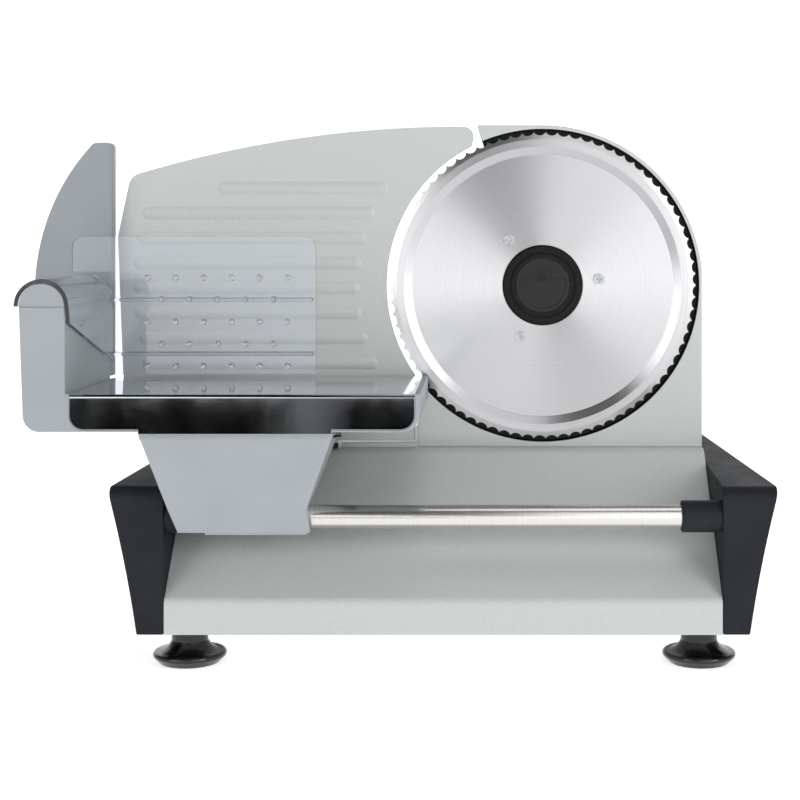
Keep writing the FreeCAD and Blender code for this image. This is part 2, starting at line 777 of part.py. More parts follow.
def rear_cover():
    """Shell over gears and motor, closed behind, with vents and the switch's opening."""
    bevel = cover_bevel
    deep = thicken_y(cover_face(0.0), housing_depth, cover_rear_y - bevel)
    rim = Part.makeLoft([slid(cover_face(0.0), cover_rear_y - bevel),
                         slid(cover_face(bevel * 0.7), cover_rear_y)], True, True)
    outer = deep.fuse(rim).removeSplitter()
    hollow = thicken_y(cover_face(cover_wall), housing_depth - 1, cover_rear_y - bevel)
    back = thicken_y(cover_face(bevel), cover_rear_y - bevel - 1, cover_rear_y - cover_wall)
    low = box(-400, 400, housing_depth - 1, cover_rear_y - cover_wall, shelf_z - 1, shelf_z + 4)
    low = low.common(thicken_y(cover_face(cover_wall), housing_depth - 1, cover_rear_y))
    hollow = hollow.fuse([back, low])
    cover = outer.cut(hollow)
    ears = []
    for x, y in shelf_screw_spots()[2:4]:
        ears.append(rod_along_z(5.0, shelf_z, shelf_z + 9, x, y))
    cover = cover.fuse(ears)
    half_x, half_z = switch_half
    cuts = [box(switch_x - half_x - 0.1, switch_x + half_x + 0.1, cover_rear_y - 9, cover_rear_y + 9,
                switch_z - half_z - 0.1, switch_z + half_z + 0.1)]
    for row in range(7):
        z = motor_z - 27 + 9 * row
        cuts.append(slot_y(motor_x - 24, motor_x + 24, z, z + 4, cover_rear_y - 9, cover_rear_y + 9))
    for x, y in shelf_screw_spots()[2:4]:
        cuts.append(rod_along_z(1.75, shelf_z - 1, shelf_z + 4, x, y))
    return cover.cut(cuts)


def plate_sill():
    """Bar on the shelf in front of which the thickness plate's tongue stands."""
    back_y = plate_front_y - sill_gap
    front_y = back_y - sill_t
    top_z = shelf_z + sill_height
    bar = box(shoe_right_x + 2, housing_left_x - 0.5, front_y, back_y, shelf_z, top_z)
    lip = [e for e in bar.Edges
           if e.CenterOfMass.z > top_z - 0.1 and e.CenterOfMass.y < front_y + 0.1]
    return bar.makeFillet(1.0, lip)


# --- blade --------------------------------------------------------------------------------
def blade():
    """Dished disc with a scalloped, bevelled edge; everything at its middle stays behind y = 0."""
    back = blade_rim_t
    foot_r = blade_r - blade_rim_width
    dish_r = foot_r - blade_dish_run
    steps = [
        (dish_r, blade_dish),
        (foot_r, 0.0),
        (blade_r - blade_bevel, 0.0),
        (blade_r, back - 0.3),
        (blade_r, back),
        (foot_r, back),
        (dish_r, back + blade_dish),
        (blade_hole_r, back + blade_dish),
    ]
    disc = turn_y((blade_hole_r, blade_dish), steps, blade_x, blade_z)
    tips = []
    for tooth in range(blade_teeth):
        start = 2 * math.pi * tooth / blade_teeth
        step = math.pi / blade_teeth
        tip = on_circle(blade_x, blade_z, blade_r, start)
        valley = on_circle(blade_x, blade_z, blade_r - blade_tooth_depth, start + step)
        after = on_circle(blade_x, blade_z, blade_r, start + 2 * step)
        tips.append((tip, valley, after))
    scallops = slab_y(tips[0][0], [(valley, after) for tip, valley, after in tips], -1, 9)
    toothed = disc.common(scallops)
    holes = []
    for x, z in blade_screw_spots():
        holes.append(rod_along_y(blade_screw_r + 0.2, -1, 9, x, z))
    return toothed.cut(holes)


def blade_screw_spots():
    first = math.radians(blade_screw_angle)
    turns = [first + 2 * math.pi * step / 3 for step in range(3)]
    return [on_circle(blade_x, blade_z, blade_screw_circle_r, angle) for angle in turns]


def blade_screws():
    head_t = 1.3
    face_y = blade_dish
    screws = []
    for x, z in blade_screw_spots():
        tip_y = gear_flange_y[1] - 0.5
        head_y = face_y - head_t
        screws.append(pan_screw_y(x, z, head_y, tip_y, blade_screw_r, blade_screw_head_r,
                                  head_t, 2.0))
    return Part.makeCompound(screws)


def blade_hub():
    back_y = gear_flange_y[0]
    outer_r = blade_hole_r - 0.1
    steps = [
        (hub_groove_r - 0.9, hub_front_y),
        (hub_groove_r - 0.9, hub_front_y + 1.2),
        (hub_groove_r, hub_front_y + 1.2),
        (hub_groove_r, hub_front_y),
        (outer_r - 1.0, hub_front_y),
        (outer_r, hub_front_y + 1.0),
        (outer_r, back_y),
        (lock_r + clear_gap, back_y),
    ]
    return turn_y((lock_r + clear_gap, hub_front_y), steps, blade_x, blade_z)


def blade_gear():
    low, high = gear_flange_y
    wheel = gear(blade_gear_teeth, first_module, idler_direction, first_mesh_y[0],
                 first_mesh_y[1], blade_x, blade_z)
    flange = rod_along_y(gear_flange_r, low, high, blade_x, blade_z)
    neck = rod_along_y(30.0, high - 0.5, first_mesh_y[0] + 0.5, blade_x, blade_z)
    body = flange.fuse([neck, wheel])
    cuts = [
        rod_along_y(lock_stem_r + clear_gap, low - 1, high, blade_x, blade_z),
        rod_along_y(spindle_r + running_gap, low - 1, first_mesh_y[1] + 1, blade_x, blade_z),
    ]
    for x, z in blade_screw_spots():
        cuts.append(rod_along_y(blade_screw_r, low - 1, high - 0.4, x, z))
    web = rod_along_y(31.0, first_mesh_y[1] - 3, first_mesh_y[1] + 1, blade_x, blade_z)
    cuts.append(web.cut(rod_along_y(12.0, 0, 30, blade_x, blade_z)))
    return body.cut(cuts)


def blade_lock():
    """Quarter-turn lock: a disc with a sunk lower half, a finger notch and a short stem."""
    disc = rod_along_y(lock_r, lock_front_y, lock_back_y, blade_x, blade_z)
    sunk = rod_along_y(lock_r - 2.2, lock_front_y - 1, lock_front_y + 1.1, blade_x, blade_z)
    above = box(blade_x - 30, blade_x + 30, lock_front_y - 2, lock_back_y,
                blade_z + lock_edge_z, blade_z + 30)
    notch = rod_along_y(lock_notch_r, lock_front_y - 1, lock_front_y + 1.1,
                        blade_x, blade_z + lock_edge_z)
    disc = disc.cut(sunk.cut(above)).cut(notch)
    grips = []
    for step in range(3):
        half = 3.6 - 0.9 * step
        z = blade_z + lock_edge_z - 1.4 + 1.7 * step
        grips.append(box(blade_x - half, blade_x + half, lock_front_y + 0.3,
                         lock_front_y + 1.4, z, z + 0.8))
    stem = rod_along_y(lock_stem_r, lock_back_y - 0.5, gear_flange_y[1] - 0.4, blade_x, blade_z)
    return disc.fuse(grips + [stem])


# --- drive train --------------------------------------------------------------------------
def blade_spindle():
    plate_front, plate_back = gear_plate_y
    parts = [
        rod_along_y(spindle_r, gear_flange_y[1] + 0.2, plate_back, blade_x, blade_z),
        rod_along_y(9.0, first_mesh_y[1] + 0.4, plate_front, blade_x, blade_z),
        rod_along_y(8.0, plate_back, plate_back + 2.0, blade_x, blade_z),
    ]
    return join(parts)


def idler_axle():
    plate_front, plate_back = gear_plate_y
    parts = [
        rod_along_y(idler_axle_r, first_mesh_y[0] + 0.2, plate_back, idler_x, idler_z),
        rod_along_y(5.5, second_mesh_y[1] + 1.0, plate_front, idler_x, idler_z),
        rod_along_y(5.0, plate_back, plate_back + 1.5, idler_x, idler_z),
    ]
    return join(parts)


def idler_gear():
    towards_blade = idler_direction + math.pi + math.pi / idler_pinion_teeth
    low_y = first_mesh_y[0] + 0.4
    pinion = gear(idler_pinion_teeth, first_module, towards_blade, low_y,
                  second_mesh_y[0] + 0.5, idler_x, idler_z)
    wheel = gear(idler_gear_teeth, second_module, motor_direction, second_mesh_y[0],
                 second_mesh_y[1], idler_x, idler_z)
    bore = rod_along_y(idler_axle_r + running_gap, 0, 40, idler_x, idler_z)
    return wheel.fuse(pinion).cut(bore)


def motor_pinion():
    phase = motor_direction + math.pi + math.pi / motor_pinion_teeth
    wheel = gear(motor_pinion_teeth, second_module, phase, second_mesh_y[0] - 0.4,
                 second_mesh_y[1] + 0.4, motor_x, motor_z)
    return wheel.cut(rod_along_y(motor_shaft_r, 0, 40, motor_x, motor_z))


def gear_plate():
    """Steel plate behind the gears that carries spindle, axle and motor."""
    low, high = gear_plate_y
    left = post_spots[0][0] - 5.5
    right = post_spots[2][0] + 5.0
    floor = post_spots[2][1] - 5.0
    top = post_spots[0][1] + 4.0
    steps = [(right, floor), (right, blade_z + 20), (post_spots[1][0] + 5, top - 8),
             (post_spots[1][0] - 4, top), (left + 8, top), (left, top - 8)]
    plate = slab_y((left, floor), steps, low, high)
    cuts = [
        rod_along_y(spindle_r, low - 1, high + 1, blade_x, blade_z),
        rod_along_y(idler_axle_r, low - 1, high + 1, idler_x, idler_z),
        rod_along_y(motor_shaft_r + 4, low - 1, high + 1, motor_x, motor_z),
    ]
    for x, z in post_spots:
        cuts.append(rod_along_y(1.6, low - 1, high + 1, x, z))
    for x, z in motor_screw_spots():
        cuts.append(rod_along_y(1.6, low - 1, high + 1, x, z))
    return plate.cut(cuts)


def motor_screw_spots():
    return [on_circle(motor_x, motor_z, 18.0, angle) for angle in (0.0, math.pi)]


def gear_plate_screws():
    back_y = gear_plate_y[1]
    screws = []
    for x, z in post_spots:
        screws.append(pan_screw_y(x, z, back_y + 2.0, gear_plate_y[0] - 8, 1.5, 3.0, 2.0, 1.8))
    return Part.makeCompound(screws)


def motor_screws():
    front_y = gear_plate_y[0]
    tip_y = gear_plate_y[1] + 3.2
    screws = []
    for x, z in motor_screw_spots():
        screws.append(pan_screw_y(x, z, front_y - 1.8, tip_y, 1.5, 2.8, 1.8, 1.6))
    return Part.makeCompound(screws)


def motor_can():
    low = gear_plate_y[1]
    high = low + motor_length
    can = rod_along_y(motor_can_r, low, high, motor_x, motor_z)
    cuts = [
        rod_along_y(motor_can_r - motor_wall, low + 3.4, high + 1, motor_x, motor_z),
        rod_along_y(motor_shaft_r + 4, low - 1, high + 1, motor_x, motor_z),
    ]
    for x, z in motor_screw_spots():
        cuts.append(rod_along_y(1.5, low - 1, low + 4, x, z))
    return can.cut(cuts)


def motor_end_bell():
    low = gear_plate_y[1] + motor_length
    high = low + motor_bell_length
    r = motor_can_r
    steps = [
        (r, low),
        (r, low + 3.0),
        (r - 8.0, high - 2.0),
        (motor_shaft_r + 5.5, high),
        (motor_shaft_r + 4.0, high),
    ]
    bell = turn_y((motor_shaft_r + 4.0, low), steps, motor_x, motor_z)
    vents = []
    for step in range(6):
        x, z = on_circle(motor_x, motor_z, 17.0, step * math.pi / 3)
        vents.append(rod_along_y(3.2, low - 1, high + 1, x, z))
    return bell.cut(vents)


def motor_bushings():
    low = gear_plate_y[1]
    bell_y = low + motor_length
    rings = []
    for start, length in ((low - 2.6, 6.0), (bell_y, motor_bell_length)):
        ring = rod_along_y(motor_shaft_r + 3.97, start, start + length, motor_x, motor_z)
        bore = rod_along_y(motor_shaft_r + 0.03, start - 1, start + length + 1, motor_x, motor_z)
        rings.append(ring.cut(bore))
    return Part.makeCompound(rings)


def motor_magnets():
    low = gear_plate_y[1] + 8
    high = gear_plate_y[1] + motor_length - 8
    outer_r = motor_can_r - motor_wall - 0.05
    ring = rod_along_y(outer_r, low, high, motor_x, motor_z)
    ring = ring.cut(rod_along_y(outer_r - 5, low - 1, high + 1, motor_x, motor_z))
    gap = box(motor_x - 6, motor_x + 6, low - 1, high + 1, motor_z - 60, motor_z + 60)
    return ring.cut(gap)


def motor_rotor():
    """Laminated core with round winding slots."""
    low = gear_plate_y[1] + 10
    high = gear_plate_y[1] + motor_length - 10
    core_r = motor_can_r - motor_wall - 5.6
    core = rod_along_y(core_r, low, high, motor_x, motor_z)
    slots = [rod_along_y(motor_shaft_r, low - 1, high + 1, motor_x, motor_z)]
    for step in range(8):
        x, z = on_circle(motor_x, motor_z, core_r - 3.0, step * math.pi / 4)
        slots.append(rod_along_y(3.4, low - 1, high + 1, x, z))
    return core.cut(slots)


def motor_shaft():
    end_y = gear_plate_y[1] + motor_length + motor_bell_length + 1.5
    return rod_along_y(motor_shaft_r, second_mesh_y[0] - 1.4, end_y, motor_x, motor_z)


# --- power switch -------------------------------------------------------------------------
def rocker_axis():
    return cover_rear_y - 3.5


def switch_bezel():
    half_x, half_z = switch_half
    pivot_y = rocker_axis()
    body = box(switch_x - half_x, switch_x + half_x, pivot_y - 12, cover_rear_y,
               switch_z - half_z, switch_z + half_z)
    rim = box(switch_x - half_x - 2, switch_x + half_x + 2, cover_rear_y, cover_rear_y + 1.3,
              switch_z - half_z - 2, switch_z + half_z + 2)
    well_x = rocker_half_width + clear_gap
    well_z = rocker_r + clear_gap
    well = box(switch_x - well_x, switch_x + well_x, pivot_y - 10, cover_rear_y + 2,
               switch_z - well_z, switch_z + well_z)
    pins = rod_along_x(rocker_pin_r + 0.06, switch_x - well_x - 1.6, switch_x + well_x + 1.6,
                       pivot_y, switch_z)
    return body.fuse(rim).cut([well, pins])


def power_rocker():
    """Saddle-shaped rocker whose ends are arcs about its pivot, at rest tipped to off."""
    pivot_y = rocker_axis()
    r = rocker_r
    tip = math.radians(32.5)
    heel = math.radians(-21.0)
    side = math.radians(5.0)

    def at(radius, angle, way):
        return (pivot_y + radius * math.sin(angle), switch_z + way * radius * math.cos(angle))

    steps = [
        (at(r, side, 1), at(r, tip, 1)),
        (pivot_y + 3.4, switch_z),
        at(r, tip, -1),
        (at(r, side, -1), at(r, heel, -1)),
    ]
    body = slab_x(at(r, heel, 1), steps, switch_x - rocker_half_width,
                  switch_x + rocker_half_width)
    reach = rocker_half_width + clear_gap + 1.3
    pin = rod_along_x(rocker_pin_r, switch_x - reach, switch_x + reach, pivot_y, switch_z)
    rocker = join([body, pin])
    rocker.rotate(V(switch_x, pivot_y, switch_z), V(1, 0, 0), -rocker_tilt)
    return rocker


# --- thickness plate, cam and knob --------------------------------------------------------
def plate_face():
    shoulder_x = plate_left_x + 12.4
    edge_x = housing_neck()[0] - plate_neck_gap
    peak_x = edge_x - 5.5
    top = math.acos((edge_x - 1.1 - blade_x) / plate_arc_r)
    low = math.pi + math.acos((blade_x - plate_tongue_right_x) / plate_arc_r)
    steps = [
        (plate_left_x, blade_z + 31.0),
        (plate_left_x + 6.6, housing_top_z - 37.0),
        ((plate_left_x + 8.6, housing_top_z - 32.6), (shoulder_x, housing_top_z - 30.0)),
        (((shoulder_x + peak_x) / 2, housing_top_z - 7.7), (peak_x, housing_top_z - 0.7)),
        ((edge_x - 1.6, housing_top_z - 2.6), (edge_x, housing_top_z - 8.0)),
        on_circle(blade_x, blade_z, plate_arc_r, top),
        (on_circle(blade_x, blade_z, plate_arc_r, (top + low) / 2),
         on_circle(blade_x, blade_z, plate_arc_r, low)),
        (plate_tongue_right_x, plate_tongue_z),
        (plate_tongue_left_x, plate_tongue_z),
        (plate_tongue_left_x, plate_bottom_z),
    ]
    return front_face((plate_left_x + 4.0, plate_bottom_z), steps)


def plate_rib(x0, x1, z):
    """A long, low rib with round ends, the cap of a capsule that sits behind the plate."""
    half = plate_rib_width / 2
    r = (half ** 2 + plate_rib_height ** 2) / (2 * plate_rib_height)
    centre_y = plate_front_y - plate_rib_height + r
    ends = math.sqrt(r ** 2 - (centre_y - plate_front_y) ** 2)
    bar = rod_along_x(r, x0 + ends, x1 - ends, centre_y, z)
    balls = [Part.makeSphere(r, V(x, centre_y, z)) for x in (x0 + ends, x1 - ends)]
    capsule = bar.fuse(balls)
    front = box(x0 - r, x1 + r, plate_front_y - 2 * plate_rib_height, plate_front_y + 0.4,
                z - r, z + r)
    return capsule.common(front)


def thickness_plate():
    face = plate_face()
    body = thicken_y(face, plate_front_y, plate_front_y + plate_rim_depth)
    hollow = thicken_y(inset(face, plate_t), plate_front_y + plate_t,
                       plate_front_y + plate_rim_depth + 1)
    ribs = []
    end_r = plate_arc_r + plate_rib_blade_gap
    for row, rib_inset in enumerate(plate_rib_insets):
        rise = plate_rib_first_rise - row * plate_rib_pitch
        end_x = blade_x - math.sqrt(end_r ** 2 - rise ** 2)
        ribs.append(plate_rib(plate_left_x + rib_inset, end_x, blade_z + rise))
    return body.cut(hollow).fuse(ribs)


def guide_pin_spots():
    return ((cam_x - guide_pin_x, cam_z), (cam_x + guide_pin_x, cam_z))


def plate_backing():
    low = plate_front_y + plate_t
    plate = box(cam_x - guide_pin_x - 9, cam_x + guide_pin_x + 9, low, low + 2.5,
                cam_z - 11, cam_z + 20)
    holes = [rod_along_y(guide_pin_r - 1.0, low - 1, low + 4, x, z) for x, z in guide_pin_spots()]
    return plate.cut(holes)


def plate_guide_pins():
    low = plate_front_y + plate_t + 2.5
    pins = []
    for x, z in guide_pin_spots():
        pin = rod_along_y(guide_pin_r, low, frame_back_y[1] + 4, x, z)
        pins.append(pin.fuse(rod_along_y(guide_pin_r - 1.0, low - 2.5, low, x, z)))
    return Part.makeCompound(pins)


def cam_yoke():
    """Bridge over the cam that joins both guide pins and carries the follower."""
    low = follower_y - 4
    high = follower_y + 4
    under = cam_z + cam_r + 1.0
    bridge = box(cam_x - guide_pin_x - 6, cam_x + guide_pin_x + 6, low, high, under, under + 6)
    legs = []
    bores = [rod_along_z(follower_r, under - 1, under + 5, cam_x, follower_y)]
    for x, z in guide_pin_spots():
        legs.append(box(x - 6, x + 6, low, high, z - 6, under + 6))
        bores.append(rod_along_y(guide_pin_r, low - 1, high + 1, x, z))
    return join([bridge] + legs).cut(bores)


def follower_pin():
    return rod_along_z(follower_r, cam_z + cam_groove_r + 0.5, cam_z + cam_r + 6.0,
                       cam_x, follower_y)


def thickness_frame():
    """Cast frame on the shelf: two walls that guide the plate's pins and hold the cam's shaft."""
    half = guide_pin_x + 12
    top = cam_z + 24
    walls = [box(cam_x - half, cam_x + half, low, high, shelf_z, top)
             for low, high in (frame_front_y, frame_back_y)]
    floor = box(cam_x - half, cam_x + half, frame_front_y[0], frame_back_y[1],
                shelf_z, shelf_z + 4)
    cuts = []
    for x, z in guide_pin_spots():
        cuts.append(rod_along_y(guide_pin_r + running_gap, 0, 90, x, z))
    cuts.append(rod_along_y(knob_shaft_r + running_gap, 0, 90, cam_x, cam_z))
    for x, y in shelf_screw_spots()[4:]:
        cuts.append(rod_along_z(1.75, shelf_z - 1, shelf_z + 4, x, y))
    return join(walls + [floor]).cut(cuts)


def thickness_cover():
    half = guide_pin_x + 15
    top = cam_z + 28
    shell = box(cam_x - half, cam_x + half, frame_front_y[0] - 2, thickness_cover_rear_y,
                shelf_z, top)
    edges = [e for e in shell.Edges
             if e.CenterOfMass.z > shelf_z + 1 and e.CenterOfMass.y > frame_front_y[0]]
    shell = shell.makeFillet(6.0, edges)
    hollow = box(cam_x - half + cover_wall, cam_x + half - cover_wall, 0,
                 thickness_cover_rear_y - cover_wall, shelf_z - 1, top - cover_wall)
    opening = rod_along_y(knob_shaft_r + 0.6, 0, 200, cam_x, cam_z)
    marks = []
    for step in range(11):
        angle = math.radians(240.0 - 30.0 * step)
        x, z = on_circle(cam_x, cam_z, knob_r + 2.0, angle)
        marks.append(rod_along_y(0.7, thickness_cover_rear_y - 0.6, thickness_cover_rear_y + 1,
                                 x, z))
    return shell.cut([hollow, opening] + marks)


def cam_groove():
    """The solid that cuts the cam's helical track, from a helicoid swept along the shaft."""
    spare = cam_lead * cam_overrun / 360.0
    rise = plate_travel + 2 * spare
    inner = Part.makeHelix(cam_lead, rise, cam_groove_r, 0, True)
    outer = Part.makeHelix(cam_lead, rise, cam_r + 3.0, 0, True)
    track = Part.makeRuledSurface(inner.Edges[0], outer.Edges[0])
    width = 2 * follower_r + 0.9
    groove = track.extrude(V(0, 0, width))
    groove.rotate(V(0, 0, 0), V(0, 0, 1), cam_overrun)
    groove.rotate(V(0, 0, 0), V(1, 1, 1), -120)
    groove.translate(V(cam_x, follower_y - spare - width / 2, cam_z))
    return groove


def cam_drum():
    low = frame_front_y[1] + 0.5
    high = frame_back_y[0] - 0.5
    drum = rod_along_y(cam_r, low, high, cam_x, cam_z)
    bore = rod_along_y(knob_shaft_r, low - 1, high + 1, cam_x, cam_z)
    return drum.cut(cam_groove()).cut(bore)


def knob_shaft():
    return rod_along_y(knob_shaft_r, frame_front_y[0] + 1, knob_y[1] - 4, cam_x, cam_z)


def thickness_knob():
    """Fluted knob with a raised pointer on its face."""
    low, high = knob_y
    skirt = rod_along_y(knob_r, low, low + 3, cam_x, cam_z)
    grip = rod_along_y(knob_r - 2.5, low + 2, high, cam_x, cam_z)
    rim = [e for e in grip.Edges if abs(e.CenterOfMass.y - high) < 0.01]
    grip = grip.makeFillet(2.5, rim)
    flutes = []
    for step in range(knob_flutes):
        angle = 2 * math.pi * (step + 0.5) / knob_flutes
        x, z = on_circle(cam_x, cam_z, knob_r + 0.3, angle)
        flutes.append(rod_along_y(4.0, low + 3, high + 1, x, z))
    grip = grip.cut(flutes)
    pointer = box(cam_x - 1.2, cam_x + 1.2, high - 1, high + 0.0, cam_z + 6, cam_z + knob_r - 5)
    dish = rod_along_y(knob_r - 6, high - 1.2, high + 1, cam_x, cam_z).cut(pointer)
    bore = rod_along_y(knob_shaft_r, low - 1, high - 4, cam_x, cam_z)
    return skirt.fuse(grip).cut([dish, bore])


# --- carriage -----------------------------------------------------------------------------
def band_face(grow):
    """The platform's front band: rounded lower corners and a deeper middle."""
    left = platform_left_x - grow
    right = platform_right_x + grow
    low = platform_band_z - grow
    r = platform_corner_r
    k = r * (1 - math.sqrt(0.5))
    steps = [
        (left, low + r),
        ((left + k, low + k), (left + r, low)),
        (platform_tongue_left_x - grow, low),
        (platform_tongue_left_x - grow, platform_tongue_z),
        (platform_tongue_right_x + grow, platform_tongue_z),
        (platform_tongue_right_x + grow, low),
        (right - r, low),
        ((right - k, low + k), (right, low + r)),
        (right, platform_z),
    ]
    return front_face((left, platform_z), steps)


def platform_sheet():
    """Polished sheet folded down over the front of the carriage."""
    front = carriage_front_y
    t = platform_sheet_t
    sheet = box(platform_left_x, platform_right_x, front, carriage_rear_y - 1,
                platform_z - t, platform_z)
    band = thicken_y(band_face(0.0), front, front + t)
    body = join([sheet, band])
    fold = [e for e in body.Edges
            if all(abs(v.Point.y - front) < 0.01 and abs(v.Point.z - platform_z) < 0.01
                   for v in e.Vertexes)]
    return body.makeFillet(platform_fold_r * 0.98, fold)


def carriage_frame():
    """Moulded tray: a hollow left wall with a round rail on top, a ribbed deck and a front lip."""
    front = carriage_front_y
    low = carriage_skirt_z
    r = wall_corner_r
    k = r * (1 - math.sqrt(0.5))
    foot_x_left = wall_left_x + wall_lean
    steps = [
        (foot_x_left, low + r),
        ((foot_x_left + k, low + k), (foot_x_left + r, low)),
        (wall_right_x, low),
        (wall_right_x, wall_top_z - 8.0),
        (wall_right_x - 0.8, wall_top_z),
    ]
    wall = slab_y((wall_left_x, wall_top_z), steps, front, wall_rear_y)
    hollow = box(wall_left_x + 2 * abs_wall + 1, wall_right_x - abs_wall, front + abs_wall,
                 wall_rear_y - 8, low - 1, wall_top_z - abs_wall)
    rail = rod_along_y(rail_r, front + 0.6, wall_rear_y, rail_x, rail_z)
    rail = rail.cut(box(-400, 0, front - 1, 0, 0, wall_top_z))
    top = platform_z - platform_sheet_t
    deck = box(wall_right_x - 1, deck_right_x, front + platform_sheet_t, carriage_rear_y,
               low, top)
    pockets = []
    pocket_left = wall_right_x + abs_wall
    pocket_right = deck_right_x - abs_wall - 0.6
    columns = 5
    width = (pocket_right - pocket_left - (columns - 1) * abs_wall) / columns
    for column in range(columns):
        x = pocket_left + column * (width + abs_wall)
        pockets.append(box(x, x + width, front + 1 + abs_wall, carriage_rear_y - abs_wall,
                           low - 1, top - abs_wall))
    edge = box(platform_right_x + 0.2, deck_right_x, front + 1.0, carriage_rear_y,
               low + 5, platform_z + 0.3)
    right = deck_right_x
    rr = deck_corner_r
    rk = rr * (1 - math.sqrt(0.5))
    lip_steps = [
        (right - rr, low),
        ((right - rk, low + rk), (right, low + rr)),
        (right, platform_z + 0.3),
        (wall_right_x - 1, platform_z + 0.3),
    ]
    lip = slab_y((wall_right_x - 1, low), lip_steps, front, front + 1.5)
    band_room = thicken_y(band_face(0.15), front - 1, front + platform_sheet_t)
    above = box(platform_left_x - 0.15, platform_right_x + 0.15, front - 1, front + 2,
                top - 0.5, platform_z + 1)
    bosses = [rod_along_z(4.5, low, top - 1, x, y) for x, y in bracket_screw_spots()]
    bores = [rod_along_z(1.6, low - 1, low + 12, x, y) for x, y in bracket_screw_spots()]
    for x, z in guard_screw_spots():
        bores.append(rod_along_y(1.6, wall_rear_y - 7, wall_rear_y + 1, x, z))
    corner = box(right - rr, right + 1, front, carriage_rear_y + 1, low - 1, low + rr)
    corner = corner.cut(rod_along_y(rr, front - 1, carriage_rear_y + 2, right - rr, low + rr))
    body = wall.cut(hollow).fuse([rail, deck.cut(pockets), edge, lip] + bosses)
    return body.cut([band_room, above, corner] + bores).removeSplitter()


def bracket_screw_spots():
    left = sleeve_left_x - 12.0
    right = sleeve_right_x - 15.0
    return ((left, -104.0), (right, -104.0), (left, -68.0), (right, -68.0))


def bracket_section(z, x0, x1, y0, y1):
    start = (x0, y0)
    return outline(lambda x, y: V(x, y, z), start, [(x1, y0), (x1, y1), (x0, y1)]).OuterWire


def carriage_bracket():
    """Tapered leg under the carriage, open behind, with the sleeve that rides on the rod."""
    w = bracket_wall
    top_x = (left_x - 9.0, left_x + 97.8)
    crease_x = (left_x + 3.5, left_x + 81.0)
    bottom_x = (left_x + 7.9, left_x + 82.5)
    front_y = (-115.0, -97.0, -90.0)
    outer = Part.makeLoft([
        bracket_section(bracket_top_z, top_x[0], top_x[1], front_y[0], -60.0),
        bracket_section(bracket_crease_z, crease_x[0], crease_x[1], front_y[1], -64.0),
        bracket_section(bracket_bottom_z, bottom_x[0], bottom_x[1], front_y[2], -66.0),
    ], True, True)
    inner = Part.makeLoft([
        bracket_section(bracket_top_z, top_x[0] + w, top_x[1] - w, front_y[0] + w, 0.0),
        bracket_section(bracket_crease_z, crease_x[0] + w, crease_x[1] - w, front_y[1] + w, 0.0),
        bracket_section(bracket_bottom_z - 10, bottom_x[0] + w + 3, bottom_x[1] - w + 1,
                        front_y[2] + w + 5, 0.0),
    ], True, True)
    flange = box(top_x[0] + 0.5, top_x[1] - 0.5, front_y[0], -60.0, bracket_top_z - w,
                 carriage_skirt_z)
    sleeve = box(sleeve_left_x, sleeve_right_x + 0.2, rod_y - sleeve_half, rod_y + sleeve_half,
                 rod_z - sleeve_half, rod_z + sleeve_half + 2.0)
    webs = []
    for x in (sleeve_left_x + 2, sleeve_right_x - 6):
        webs.append(box(x, x + w, rod_y - 8.0, rod_y + 12.0, rod_z + 8.0, bracket_top_z - 1))
    body = outer.cut(inner).fuse([flange, sleeve] + webs)
    side_room = rod_along_x(rod_bush_r + 0.6, -200, sleeve_left_x, rod_y, rod_z)
    bore = rod_along_x(sleeve_bush_r, sleeve_left_x - 1, 0, rod_y, rod_z)
    hole_z = bracket_top_z - bracket_wall - 1
    holes = [rod_along_z(1.8, hole_z, 200, x, y) for x, y in bracket_screw_spots()]
    return body.cut([side_room, bore] + holes)


def bracket_screws():
    under = bracket_top_z - bracket_wall
    screws = []
    for x, y in bracket_screw_spots():
        head = rod_along_z(3.2, under - 2.2, under, x, y)
        screws.append(head.fuse(rod_along_z(1.6, under, carriage_skirt_z + 9, x, y)))
    return Part.makeCompound(screws)


def slide_bushings():
    rings = []
    for x in (sleeve_left_x, sleeve_right_x + 0.2 - sleeve_bush_length):
        ring = rod_along_x(sleeve_bush_r - sleeve_seat_gap, x, x + sleeve_bush_length,
                           rod_y, rod_z)
        bore = rod_along_x(rod_r + running_gap, x - 1, x + sleeve_bush_length + 1, rod_y, rod_z)
        rings.append(ring.cut(bore))
    return Part.makeCompound(rings)


def rear_shoe():
    """Slide block under the deck's back edge that runs along the shelf."""
    low = shelf_z + clear_gap
    foot = box(shoe_left_x, shoe_right_x, shoe_y, shoe_y + shoe_t + 0.8, low, low + shoe_foot_t)
    stem = box(shoe_left_x, shoe_stem_right_x, shoe_y, shoe_y + shoe_t, low, carriage_skirt_z)
    return join([foot, stem])


def guard_screw_spots():
    return ((rail_x, guard_low_z + 8.0), (rail_x, guard_low_z + 30.0))


